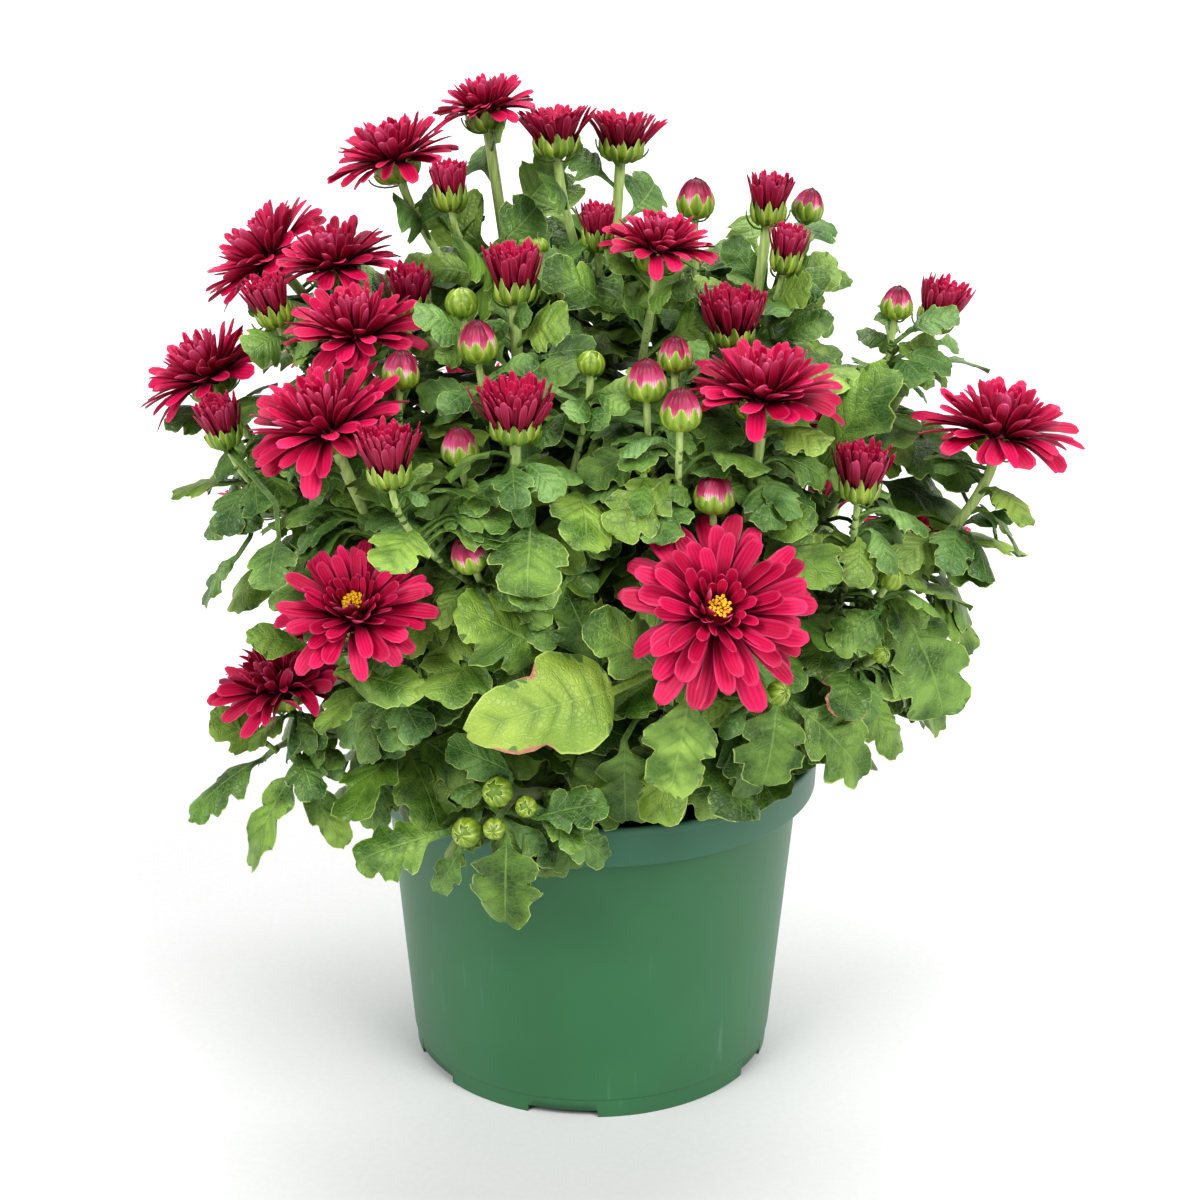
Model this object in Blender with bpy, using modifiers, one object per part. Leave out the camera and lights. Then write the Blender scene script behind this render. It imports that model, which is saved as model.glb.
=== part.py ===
"""A pot chrysanthemum with crimson blooms in its green plastic pot.

The pot stands on the ground with its axis on Z and its foot at z = 0. The front is -Y and the right is +X.
Values are in millimetres, and the meshes are made in metres. Each leafy stem is one body with its side
shoots, leaves, calyx cups and closed buds. The red rays of each flower head are one body.
"""

import math
import random

import bmesh
import bpy
import numpy as np
from mathutils.bvhtree import BVHTree

MM = 0.001
GAP = 0.3

# Pot, a 165 mm azalea pot
POT_HEIGHT = 120.0
RIM_RADIUS = 82.5
RIM_BAND = 15.3
WALL_TOP_RADIUS = 75.2
FOOT_RADIUS = 66.2
WALL = 1.9
BASE_RAISE = 3.2
RIDGE_HEIGHT = 7.5
POT_STEPS = 28
# Gaps in the foot: middle bearing and width in degrees, bearing 0 at the front and 90 at the right
FOOT_GAPS = [(-61, 22), (-9, 22), (64, 15), (115, 20), (170, 22), (-120, 20)]

# Soil
SOIL_TOP = 110.0
SOIL_CROWN = 1.5
SOIL_STEPS = 18
STEM_DEPTH = 24.0
HOLE_SIDES = 5

# Stems
STEM_SIDES = 5
STEM_ROOT_RADIUS = 3.4
STEM_TOP_RADIUS = 2.2
STALK_RADIUS = 1.9
BUD_STALK_RADIUS = 1.4
CALYX_HEIGHT = 6.0
MAIN_POINTS = 5
STALK_POINTS = 3

# Petals
PETAL_KEEL = 1.1
PETAL_SPREAD = 1.25
OPEN_COUNT = 6
HALF_OPEN_COUNT = 5
# Half width of a petal at its middle in each tier, as a part of its room, and its most in mm
PETAL_SHARES = (1.0, 0.85, 0.62)
PETAL_WIDTH_LIMIT = 10.0
# Where a petal is widest, as a part of its length
PETAL_MIDDLE = 0.66

# Leaves
RIB_HALF_THICKNESS = 0.8
TEST_HALF_THICKNESS = 1.3
BLADE_FOLD = 0.22
GOLDEN_ANGLE = 137.5
LEAF_STEP = 15.0
# Radius of the whole plant at several heights
HULL_HEIGHTS = (110, 130, 170, 210, 250, 290, 320, 350)
HULL_RADII = (80, 95, 125, 140, 140, 120, 90, 40)
# Height of the top of its foliage at several radii
CROWN_RADII = (0, 60, 100, 140)
CROWN_HEIGHTS = (310, 300, 265, 220)
# How many leaves the rule gives with their own outline, and how many after those with a plain one
RULE_LEAVES = 104
PLAIN_LEAVES = 32
# Size in mm of a young leaf and growth of an old one, and the length of stem over which it grows,
# on a main stem and on a stalk
MAIN_LEAF = (17.0, 21.0, 70.0)
STALK_LEAF = (15.0, 20.0, 50.0)
# Lowest leaf above the soil and on a stalk, and bare neck under a head
MAIN_START = 14.0
STALK_START = 9.0
BARE_NECK = 6.0
# Rise in degrees of a leaf at several heights, and its spread
RISE_HEIGHTS = (120, 180, 260, 330)
LEAF_RISES = (-22, -6, 12, 25)
RISE_SPREAD = 8
ROLL_SPREAD = 22
DROOP_RANGE = (30, 55)
PLACED_DROOP = 34.0
# A petiole rises this many degrees more than its blade, and is this part of its length and 2 mm long
PETIOLE_RISE = 15
PETIOLE_SHARE = 0.34
PETIOLE_LEAST = 2.0
# A leaf up to this size is a bract, and each outline's width as a part of its length
BRACT_SIZE = 16
LEAF_BREADTHS = {"three": 0.76, "bract": 0.54}

# Each stem is (root x, y) and its heads: kind, seat x, y, z, width, tilt from upright, bearing of the
# lean, and where it forks from the main stem (0 for the main stem's own head). Bearing 0 is the front.
STEMS = [
    ((-12, 10), [
        ("open", -37, 5, 344, 34, 8, -90, 0),
        ("open", -66, -15, 330, 42, 16, -80, 0.62),
        ("half", -47, -34, 324, 14, 6, -40, 0.74)]),
    ((6, 0), [
        ("cup", 9, 5, 334, 26, 4, 90, 0),
        ("cup", -13, -5, 337, 27, 4, -60, 0.66),
        ("half", 1, -45, 313, 13, 6, 0, 0.70),
        ("green", -18, -38, 307, 5, 10, -40, 0.74),
        ("open", 20, -58, 309, 35, 6, 60, 0.45)]),
    ((24, -4), [
        ("half", 57, -25, 318, 17, 4, 60, 0),
        ("bud", 71, -12, 315, 10, 14, 90, 0.80),
        ("bud", 33, -25, 319, 12, 4, 0, 0.55),
        ("half", 62, -45, 306, 13, 10, 70, 0.74)]),
    ((-34, 8), [
        ("open", -112, 12, 292, 47, 42, -80, 0),
        ("open", -87, -15, 295, 42, 10, -60, 0.60),
        ("half", -105, -42, 287, 16, 20, -50, 0.62)]),
    ((-48, -8), [
        ("open", -132, -5, 254, 48, 28, -80, 0),
        ("half", -123, -42, 246, 17, 14, -60, 0.62)]),
    ((-30, -16), [
        ("open", -76, -62, 282, 46, 9, -20, 0),
        ("half", -61, -33, 288, 17, 8, 20, 0.64),
        ("bud", -60, -85, 276, 11, 10, 30, 0.70)]),
    ((-44, -32), [
        ("open", -82, -94, 260, 52, 22, -50, 0)]),
    ((-10, -18), [
        ("half", -25, -70, 301, 20, 4, 0, 0),
        ("bud", -36, -86, 285, 12, 6, -20, 0.62),
        ("green", -42, -66, 294, 10, 6, -60, 0.70)]),
    ((-20, -38), [
        ("half", -24, -106, 266, 27, 8, 0, 0),
        ("bud", -41, -102, 256, 11, 8, -30, 0.62),
        ("green", -1, -88, 280, 8, 4, 20, 0.55),
        ("bud", -38, -112, 225, 11, 30, -30, 0.40),
        ("half", -61, -124, 257, 20, 8, -30, 0.54)]),
    ((12, -26), [
        ("half", 44, -60, 285, 24, 6, 0, 0),
        ("bud", 25, -84, 281, 10, 4, 0, 0.62),
        ("bud", 16, -98, 276, 12, 6, -10, 0.50),
        ("bud", 26, -114, 271, 12, 8, 10, 0.52),
        ("green", 15, -104, 252, 5, 14, -20, 0.44)]),
    ((32, -34), [
        ("open", 52, -92, 270, 49, 5, 10, 0),
        ("bud", 37, -104, 242, 12, 8, 0, 0.48)]),
    ((42, 2), [
        ("half", 116, -14, 280, 19, 18, 70, 0),
        ("bud", 100, -30, 286, 10, 6, 60, 0.72)]),
    ((50, -18), [
        ("open", 133, -50, 247, 51, 8, 70, 0),
        ("half", 84, -84, 241, 20, 6, 30, 0.46),
        ("green", 96, -80, 208, 8, 30, 40, 0.40),
        ("green", 93, -87, 184, 5, 50, 40, 0.34)]),
    ((22, -54), [
        ("open", 38, -120, 210, 58, 54, 4, 0),
        ("green", 58, -114, 181, 7, 60, 40, 0.42)]),
    ((-38, -50), [
        ("open", -74, -108, 205, 47, 32, -10, 0),
        ("open", -102, -78, 168, 42, 18, -40, 0.40),
        ("shoot", -108, -74, 143, 3, 112, -60, 0.45)]),
    ((-8, -58), [
        ("green", -30, -116, 148, 9, 60, -20, 0),
        ("green", -40, -114, 133, 9, 80, -20, 0.66),
        ("green", -21, -116, 143, 6, 70, 10, 0.80),
        ("green", -31, -120, 137, 6, 85, 0, 0.84)]),
    ((-34, 28), [
        ("open", -92, 56, 250, 42, 16, -150, 0),
        ("open", -122, 66, 190, 46, 36, -120, 0.48),
        ("bud", -84, 92, 222, 10, 22, -150, 0.60)]),
    ((-12, 38), [
        ("open", -46, 88, 222, 46, 22, -165, 0),
        ("open", -68, 122, 178, 48, 54, -155, 0.44),
        ("bud", -14, 104, 214, 11, 12, 180, 0.66),
        ("green", -6, 118, 194, 8, 26, 180, 0.50)]),
    ((12, 30), [
        ("cup", 4, 74, 246, 28, 8, 180, 0),
        ("open", 32, 112, 205, 50, 38, 168, 0.52),
        ("half", 38, 70, 240, 16, 8, 150, 0.70)]),
    ((36, 22), [
        ("open", 84, 74, 212, 44, 22, 140, 0),
        ("open", 122, 52, 180, 46, 30, 110, 0.52),
        ("half", 92, 108, 176, 20, 44, 145, 0.44),
        ("green", 60, 98, 200, 9, 18, 160, 0.64)]),
]

# Large leaves with a place of their own: stem, blade foot x, y, z, blade tip x, y, z, full width,
# outline, and the tilt and bearing that the upper face looks to
PLACED_LEAVES = [
    (13, 6, -118, 183, -39, -136, 176, 33, "lobed", 62, -10),
    (8, -13, -108, 191, -42, -122, 212, 27, "lobed", 52, -10),
    (8, 2, -104, 186, -10, -112, 217, 20, "three", 66, 0),
    (13, 20, -112, 188, -2, -124, 209, 21, "three", 60, 0),
    (13, 30, -124, 186, 24, -126, 152, 24, "three", 80, 0),
    (13, 10, -100, 159, 11, -92, 127, 20, "lobed", 70, 0),
    (13, 58, -104, 174, 54, -110, 148, 26, "lobed", 72, 20),
    (10, 66, -96, 169, 88, -94, 144, 25, "lobed", 55, 30),
    (12, 100, -58, 193, 117, -68, 155, 36, "lobed", 62, 40),
    (12, 104, -46, 209, 133, -52, 198, 23, "lobed", 35, 30),
    (11, 74, -46, 232, 96, -54, 271, 22, "lobed", 60, -10),
    (8, -19, -112, 236, -20, -128, 217, 26, "three", 40, 0),
    (4, -100, -84, 222, -102, -96, 208, 18, "three", 45, -40),
    (6, -58, -84, 232, -74, -88, 226, 15, "bract", 35, -20),
    (10, 46, -92, 228, 70, -98, 232, 15, "bract", 35, 0),
    (9, 23, -104, 248, 6, -114, 232, 20, "lobed", 45, -10),
    (1, 3, -58, 291, -16, -62, 305, 17, "three", 40, 0),
    (2, 58, -22, 288, 44, -20, 306, 14, "three", 60, -20),
    (2, 60, -48, 278, 77, -50, 287, 12, "bract", 40, 20),
    (2, 70, -18, 296, 86, -20, 291, 12, "bract", 30, 40),
    (14, -111, -70, 139, -135, -76, 120, 18, "lobed", 45, -50),
    (14, -97, -82, 141, -113, -90, 109, 17, "lobed", 60, -40),
    (14, -97, -78, 138, -82, -84, 114, 12, "three", 65, 0),
    (14, -109, -72, 146, -126, -80, 158, 16, "three", 50, -40),
    (15, -50, -112, 131, -76, -113, 122, 20, "lobed", 50, -10),
    (15, -27, -120, 134, -28, -114, 101, 24, "lobed", 75, 0),
    (15, -17, -116, 139, 5, -114, 143, 16, "lobed", 40, 10),
    (15, -26, -110, 152, -46, -114, 163, 16, "three", 50, -10),
    (15, -42, -112, 126, -50, -108, 109, 10, "three", 70, -10),
    (15, -10, -108, 133, 5, -104, 119, 14, "three", 60, 20),
    (14, -81, -106, 184, -52, -117, 182, 17, "bract", 50, 0),
    (14, -91, -90, 186, -110, -98, 193, 14, "bract", 40, -40),
    (12, 87, -78, 167, 101, -82, 147, 18, "three", 60, 30),
    (12, 92, -80, 196, 77, -88, 186, 16, "lobed", 50, 10),
    (4, -119, -50, 204, -130, -54, 188, 14, "lobed", 50, -60),
    (12, 126, -34, 212, 143, -34, 214, 10, "three", 20, 40),
]

# A leaf outline is its half width at points along the blade, both as parts of the length, and the
# places of the rib points. The half widths are scaled to the leaf's own width.
OUTLINES = {
    "lobed": ((0.20, 0.44, 0.55, 0.78, 0.85), (0.36, 1.0, 0.52, 0.82, 0.40), (0.30, 0.62)),
    "three": ((0.22, 0.60, 0.72), (0.42, 1.0, 0.55), (0.42,)),
    "bract": ((0.30, 0.66), (0.88, 0.86), (0.50,)),
    "plain": ((0.55,), (0.90,), (0.50,)),
}


def unit(vector):
    return vector / np.linalg.norm(vector)


def pointing(tilt, bearing):
    """Unit vector tilted from upright, in degrees, towards a bearing with 0 at -Y and 90 at +X."""
    lean, turn = math.radians(tilt), math.radians(bearing)
    return np.array([math.sin(lean) * math.sin(turn), -math.sin(lean) * math.cos(turn), math.cos(lean)])


def hermite(start, end, start_slope, end_slope, count):
    """Points of the cubic that joins two ends with a given slope at each."""
    t = np.linspace(0, 1, count)[:, None]
    return (
        (2 * t**3 - 3 * t**2 + 1) * start
        + (t**3 - 2 * t**2 + t) * start_slope
        + (3 * t**2 - 2 * t**3) * end
        + (t**3 - t**2) * end_slope
    )


def at_share(path, share):
    """Point and direction at a share of a path's length."""
    steps = np.linalg.norm(np.diff(path, axis=0), axis=1)
    along = np.concatenate([[0], np.cumsum(steps)]) / steps.sum()
    point = np.array([np.interp(share, along, path[:, k]) for k in range(3)])
    i = min(max(int(np.searchsorted(along, share)), 1), len(path) - 1)
    return point, unit(path[i] - path[i - 1])


def length_of(path):
    return np.linalg.norm(np.diff(path, axis=0), axis=1).sum()


def neck_of(kind, width):
    """How far under its seat a head's stalk ends."""
    if kind in ("open", "cup", "half"):
        return CALYX_HEIGHT
    return 0.5 * width


def stem_paths(root, heads):
    """The main stem's path, then each side stalk's, from its fork to the foot of its head."""
    paths = []
    for kind, x, y, z, width, tilt, bearing, fork in heads:
        axis = pointing(tilt, bearing)
        end = np.array([x, y, z], float) - axis * neck_of(kind, width)
        if fork == 0:
            start = np.array([root[0], root[1], SOIL_TOP + 4.0])
            reach = np.linalg.norm(end - start)
            lean = unit(end - start) * 0.55 + np.array([0, 0, 0.55])
            path = hermite(start, end, lean * reach, axis * reach * 0.75, MAIN_POINTS)
            foot = np.array([root[0], root[1], SOIL_TOP - STEM_DEPTH + GAP])
            paths.append(np.vstack([foot, path]))
        else:
            start, along = at_share(paths[0], fork)
            reach = np.linalg.norm(end - start)
            lean = unit(end - start) * 0.6 + along * 0.4
            paths.append(hermite(start, end, lean * reach, axis * reach * 0.8, STALK_POINTS))
    return paths


def arched(leaf, x, y, lift):
    """World points of a blade: x along it, y across, as parts of its length, and lift in mm off it.

    The midrib is an arc that droops by leaf['droop'] degrees, and the two halves fold up along it.
    """
    turn = math.radians(leaf["droop"])
    size, ahead, up = leaf["length"], leaf["ahead"], leaf["up"]
    side = np.cross(ahead, up)
    x, y, lift = np.broadcast_arrays(*[np.asarray(v, float) for v in (x, y, lift)])
    x, y, lift = x[..., None], y[..., None], lift[..., None]
    rib = leaf["foot"] + size * (np.sin(turn * x) * ahead - (1 - np.cos(turn * x)) * up) / turn
    local_up = np.cos(turn * x) * up + np.sin(turn * x) * ahead
    return rib + size * y * side + (BLADE_FOLD * size * np.abs(y) + lift) * local_up


def leaf_cage(leaf, half_thickness):
    """A closed thin blade with a four-sided petiole, as points and faces.

    Both faces share one outline, and the rib points stand half the thickness off the blade on
    each side, so that the two faces are split into triangles alike.
    """
    along, across, ribs = OUTLINES[leaf["outline"]]
    half = 0.5 * leaf["width"] / leaf["length"]
    side_x = np.array((0.0, *along))
    side_y = np.array((0.0, *(half * np.array(across))))
    rib_x = np.array((0.0, *ribs))
    points = [
        arched(leaf, side_x, side_y, 0),
        arched(leaf, side_x, -side_y, 0),
        arched(leaf, rib_x, 0 * rib_x, half_thickness),
        arched(leaf, rib_x, 0 * rib_x, -half_thickness),
        arched(leaf, [1.0], [0.0], 0),
    ]
    first = np.cumsum([0] + [len(p) for p in points])
    tip = first[4]
    faces = []
    for edge in (0, 1):
        for face in (2, 3):
            chain = [first[edge] + i for i in range(len(side_x))] + [tip]
            rib = [first[face] + i for i in range(len(rib_x))] + [tip]
            i = j = 0
            while i < len(chain) - 1 or j < len(rib) - 1:
                next_side = side_x[i + 1] if i + 1 < len(side_x) else 1.0
                next_rib = rib_x[j + 1] if j + 1 < len(rib_x) else 1.01
                if i < len(chain) - 1 and next_side <= next_rib:
                    faces.append([chain[i], chain[i + 1], rib[j]])
                    i += 1
                elif rib[j] != tip and rib[j + 1] != tip:
                    faces.append([rib[j], chain[i], rib[j + 1]])
                    j += 1
                else:
                    break
    # The petiole's two rings face along it, and half-way between it and the blade
    along_petiole = unit(leaf["foot"] - leaf["root"])
    mitre = unit(along_petiole + leaf["ahead"])
    side = unit(np.cross(mitre, leaf["up"]))
    lift = np.cross(side, mitre)
    for k, offset in enumerate((side, -side, half_thickness * lift, -half_thickness * lift)):
        points[k][0] = leaf["foot"] + offset
    ring = [first[0], first[2], first[1], first[3]]
    side = unit(np.cross(along_petiole, lift))
    lift = half_thickness * np.cross(side, along_petiole)
    root = leaf["root"] + np.array([side, lift, -side, -lift])
    base = first[-1]
    faces += [[ring[k], ring[(k + 1) % 4], base + (k + 1) % 4, base + k] for k in range(4)]
    faces.append([base + k for k in range(4)])
    return np.vstack(points + [root]), faces


def tree_of(points, faces):
    return BVHTree.FromPolygons([tuple(p) for p in points], faces)


def tube_hull(path, radius):
    """A four-sided tube round a path, for the clearance tests."""
    rings = []
    for i, point in enumerate(path):
        along = unit(path[min(i + 1, len(path) - 1)] - path[max(i - 1, 0)])
        side = unit(np.cross(along, [0.3, 0.9, 0.31]))
        other = np.cross(along, side)
        rings.append([point + radius * v for v in (side, other, -side, -other)])
    points = np.array(rings).reshape(-1, 3)
    faces = [
        [4 * i + k, 4 * i + (k + 1) % 4, 4 * i + 4 + (k + 1) % 4, 4 * i + 4 + k]
        for i in range(len(path) - 1)
        for k in range(4)
    ]
    return points, faces


def turned_hull(seat, axis, profile, sides):
    """A closed turned form on an axis, from (radius, height) pairs, for the clearance tests."""
    side = unit(np.cross(axis, [0.3, 0.9, 0.31]))
    other = np.cross(axis, side)
    angles = np.arange(sides) * 2 * math.pi / sides
    rings = [
        seat + height * axis + radius * (np.cos(a) * side + np.sin(a) * other)
        for radius, height in profile
        for a in angles
    ]
    faces = [
        [sides * i + k, sides * i + (k + 1) % sides, sides * (i + 1) + (k + 1) % sides, sides * (i + 1) + k]
        for i in range(len(profile) - 1)
        for k in range(sides)
    ]
    return np.array(rings), faces


def brush_height(kind, width):
    """How far the upright petals of a half-open head reach above its seat."""
    return 9.0 if kind == "cup" else min(3.0 + 0.42 * width, 11.5)


def head_hull(kind, seat, axis, width):
    """The room that a head takes up, with the play that its petals need."""
    half = 0.5 * width
    if kind == "open":
        profile = [(0.1, -7), (5, -6), (half + 1, -4), (half + 1.5, 4), (0.7 * half, 0.82 * half + 2),
                   (0.1, 0.9 * half + 2)]
    elif kind in ("cup", "half"):
        top = brush_height(kind, width)
        profile = [(0.1, -7), (0.5 * half + 2, -5), (half + 1, 4), (half + 1, top + 2), (0.1, top + 4)]
    else:
        profile = [(0.1, -half - 2), (half + 1, -half), (half + 1, half), (0.1, half + 2)]
    return turned_hull(seat, axis, profile, 10)


def room_taken():
    """Every stem, head and the pot's rim, as (owner, test tree, low corner, high corner)."""
    taken = []
    for owner, (root, heads) in enumerate(STEMS):
        for path, head in zip(stem_paths(root, heads), heads):
            kind, x, y, z, width, tilt, bearing, fork = head
            radius = STEM_ROOT_RADIUS if fork == 0 else STALK_RADIUS
            add_room(taken, owner, *tube_hull(path, radius + 0.7))
            if kind != "shoot":
                seat, axis = np.array([x, y, z], float), pointing(tilt, bearing)
                add_room(taken, owner, *head_hull(kind, seat, axis, width))
    rim = [(RIM_RADIUS - 5, 100), (RIM_RADIUS - 5, POT_HEIGHT + 0.6), (RIM_RADIUS + 0.8, POT_HEIGHT + 0.6),
           (RIM_RADIUS + 0.8, POT_HEIGHT - RIM_BAND - 1), (WALL_TOP_RADIUS + 1, 103), (70, 40)]
    add_room(taken, -1, *turned_hull(np.zeros(3), np.array([0, 0, 1.0]), rim, 32))
    floor = [(0.1, SOIL_TOP + 3), (RIM_RADIUS - 4, SOIL_TOP + 2)]
    add_room(taken, -1, *turned_hull(np.zeros(3), np.array([0, 0, 1.0]), floor, 16))
    return taken


def add_room(taken, owner, points, faces):
    taken.append((owner, tree_of(points, faces), points.min(axis=0), points.max(axis=0)))


def is_clear(taken, owner, points, faces):
    """True if the form meets nothing that another stem or the pot owns."""
    low, high = points.min(axis=0), points.max(axis=0)
    tree = None
    for other, room, room_low, room_high in taken:
        if other == owner:
            continue
        if (low > room_high).any() or (high < room_low).any():
            continue
        tree = tree or tree_of(points, faces)
        if tree.overlap(room):
            return False
    return True


def placed_leaf(row, paths):
    """A leaf with a place of its own: its petiole runs to the nearest point of its stem."""
    stem, fx, fy, fz, tx, ty, tz, width, outline, tilt, bearing = row
    foot, tip = np.array([fx, fy, fz], float), np.array([tx, ty, tz], float)
    chord = unit(tip - foot)
    face = pointing(tilt, bearing)
    face = unit(face - chord * (face @ chord))
    half_turn = math.radians(PLACED_DROOP) / 2
    ahead = math.cos(half_turn) * chord + math.sin(half_turn) * face
    up = math.cos(half_turn) * face - math.sin(half_turn) * chord
    spots = np.vstack([spots_along(path) for path in paths])
    spots = spots[spots[:, 2] > SOIL_TOP + 8]
    # A spot ahead of the foot counts as farther off, so that the petiole doesn't turn back
    reach = np.linalg.norm(spots - foot, axis=1) + 25 * np.maximum(0, (spots - foot) @ ahead / 10)
    return {
        "stem": stem, "root": spots[np.argmin(reach)], "foot": foot, "ahead": ahead, "up": up,
        "length": np.linalg.norm(tip - foot) * half_turn / math.sin(half_turn),
        "width": width, "outline": outline, "droop": PLACED_DROOP,
    }


def spots_along(path):
    """Closely spaced points along a path."""
    return np.array([at_share(path, share)[0] for share in np.linspace(0.02, 0.98, 40)])


def grown_leaf(stem, path, share, turn, size, rise, dice):
    """A leaf that grows out of its stem by the leaf rule: petiole first, then the blade."""
    root, along = at_share(path, share)
    level = unit(np.array([math.sin(math.radians(turn)), -math.cos(math.radians(turn)), 0.0]))
    steep = math.radians(rise + PETIOLE_RISE)
    stalk = level * math.cos(steep) + np.array([0, 0, math.sin(steep)])
    ahead = level * math.cos(math.radians(rise)) + np.array([0, 0, math.sin(math.radians(rise))])
    side = unit(np.cross(ahead, [0, 0, 1.0]))
    roll = math.radians(dice.uniform(-ROLL_SPREAD, ROLL_SPREAD))
    up = np.cross(side, ahead) * math.cos(roll) + side * math.sin(roll)
    outline = "three" if size > BRACT_SIZE else "bract"
    broad = LEAF_BREADTHS[outline] * dice.uniform(0.92, 1.08)
    foot = root + stalk * (PETIOLE_SHARE * size + PETIOLE_LEAST)
    return {
        "stem": stem, "root": root, "foot": foot, "ahead": ahead, "up": up, "length": size,
        "width": size * broad, "outline": outline, "droop": dice.uniform(*DROOP_RANGE),
    }


def leaf_rows(stem, paths):
    """Where the leaf rule puts leaves, foot to top of each path: rank, stem, path, share, turn, size.

    The turn grows by the golden angle from leaf to leaf. The rank is highest for a large leaf that
    faces out on the dome of the plant, so that those leaves get their places first.
    """
    rows = []
    for k, path in enumerate(paths):
        reach = length_of(path)
        turn = 61.0 * stem + 97.0 * k
        place = (STEM_DEPTH + MAIN_START) if k == 0 else STALK_START
        least, growth, growing_length = MAIN_LEAF if k == 0 else STALK_LEAF
        while place < reach - BARE_NECK:
            root = at_share(path, place / reach)[0]
            young = min((reach - place) / growing_length, 1)
            size = (least + growth * young) * float(np.interp(root[2], [250, 320], [1.0, 0.8]))
            out = unit(np.array([root[0], root[1], 0.6 * (root[2] - 150)]))
            away = float(out[:2] @ [math.sin(math.radians(turn)), -math.cos(math.radians(turn))])
            radius = float(np.hypot(root[0], root[1]))
            outer = radius / float(np.interp(root[2], HULL_HEIGHTS, HULL_RADII))
            upper = root[2] / float(np.interp(radius, CROWN_RADII, CROWN_HEIGHTS)) - 0.08
            rank = max(outer, upper) + 0.30 * away + size / 100.0
            rows.append((rank, stem, k, place / reach, turn, size))
            turn += GOLDEN_ANGLE
            place += LEAF_STEP * (0.5 + size / 60.0)
    return rows


# What is tried in turn for each leaf: degrees of turn, degrees of rise, share of its size
TRIES = [(0, 0, 1), (24, 0, 1), (-24, 0, 1), (0, 18, 1), (0, -20, 1), (50, 6, 0.92), (-50, 6, 0.92),
         (24, 30, 0.85), (-24, 30, 0.85), (75, 12, 0.8), (-75, 12, 0.8), (0, 42, 0.75), (110, 20, 0.65),
         (-110, 20, 0.65)]


def hides_rim(leaf):
    """True if a leaf's tip would hang in front of the right half of the rim, which stays in view."""
    x, y, z = arched(leaf, 1.0, 0.0, 0.0)
    return 0 < x < 95 and y < -45 and z < POT_HEIGHT + 3 + 0.4 * max(0, -y - RIM_RADIUS)


def all_leaves():
    """The placed leaves, then the rule's leaves by rank, each where it is clear.

    The last of them stand deeper in the plant, and get the plain outline.
    """
    paths = [stem_paths(root, heads) for root, heads in STEMS]
    taken = room_taken()
    leaves = []
    for row in PLACED_LEAVES:
        leaf = placed_leaf(row, paths[row[0]])
        points, faces = leaf_cage(leaf, TEST_HALF_THICKNESS)
        if is_clear(taken, row[0], points, faces):
            leaves.append(leaf)
            add_room(taken, row[0], points, faces)
    rows = [row for stem, stalks in enumerate(paths) for row in leaf_rows(stem, stalks)]
    rows.sort(reverse=True)
    grown_count = 0
    for number, (rank, stem, k, share, turn, size) in enumerate(rows):
        if grown_count == RULE_LEAVES + PLAIN_LEAVES:
            break
        dice = random.Random(number)
        height = at_share(paths[stem][k], share)[0][2]
        rise = float(np.interp(height, RISE_HEIGHTS, LEAF_RISES)) + dice.uniform(-RISE_SPREAD, RISE_SPREAD)
        for turn_by, rise_by, part in TRIES:
            leaf = grown_leaf(stem, paths[stem][k], share, turn + turn_by, size * part, rise + rise_by, dice)
            points, faces = leaf_cage(leaf, TEST_HALF_THICKNESS)
            if hides_rim(leaf):
                continue
            if is_clear(taken, stem, points, faces) and not leaf_hits_own(taken, stem, points, faces):
                add_room(taken, stem, points, faces)
                if grown_count >= RULE_LEAVES:
                    leaf["outline"] = "plain"
                leaves.append(leaf)
                grown_count += 1
                break
    return leaves


def leaf_hits_own(taken, owner, points, faces):
    """True where the outer part of a leaf meets a leaf or a head of its own stem."""
    blade = [f for f in faces if len(f) == 3]
    low, high = points.min(axis=0), points.max(axis=0)
    tree = None
    for other, room, room_low, room_high in taken:
        if other != owner or (low > room_high).any() or (high < room_low).any():
            continue
        tree = tree or tree_of(points, blade)
        if tree.overlap(room):
            return True
    return False


def material(name, colour, roughness, metallic=0.0):
    made = bpy.data.materials.new(name)
    made.use_nodes = True
    shader = made.node_tree.nodes["Principled BSDF"]
    shader.inputs["Base Color"].default_value = (*colour, 1)
    shader.inputs["Roughness"].default_value = roughness
    shader.inputs["Metallic"].default_value = metallic
    made.diffuse_color = (*colour, 1)
    return made


def new_object(name, mesh, collection):
    made = bpy.data.objects.new(name, mesh)
    collection.objects.link(made)
    return made


def mesh_of(name, points, faces):
    """A mesh in metres from points in mm, with its faces turned outwards."""
    made = bpy.data.meshes.new(name)
    made.from_pydata([tuple(p * MM) for p in points], [], [[int(i) for i in f] for f in faces])
    work = bmesh.new()
    work.from_mesh(made)
    bmesh.ops.recalc_face_normals(work, faces=work.faces)
    work.to_mesh(made)
    work.free()
    return made


def evaluated_mesh(source):
    """A new mesh from an object as its modifiers or its curve leave it."""
    bpy.context.view_layer.update()
    graph = bpy.context.evaluated_depsgraph_get()
    return bpy.data.meshes.new_from_object(source.evaluated_get(graph))


def stem_profile():
    """The five-sided ring that is swept along every stem and stalk."""
    ring = bpy.data.curves.new("stem_profile", "CURVE")
    spline = ring.splines.new("POLY")
    spline.points.add(STEM_SIDES - 1)
    for i, point in enumerate(spline.points):
        angle = 2 * math.pi * i / STEM_SIDES
        point.co = (MM * math.cos(angle), MM * math.sin(angle), 0, 1)
    spline.use_cyclic_u = True
    made = bpy.data.objects.new("stem_profile", ring)
    bpy.context.scene.collection.objects.link(made)
    made.hide_render = True
    return made


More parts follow.
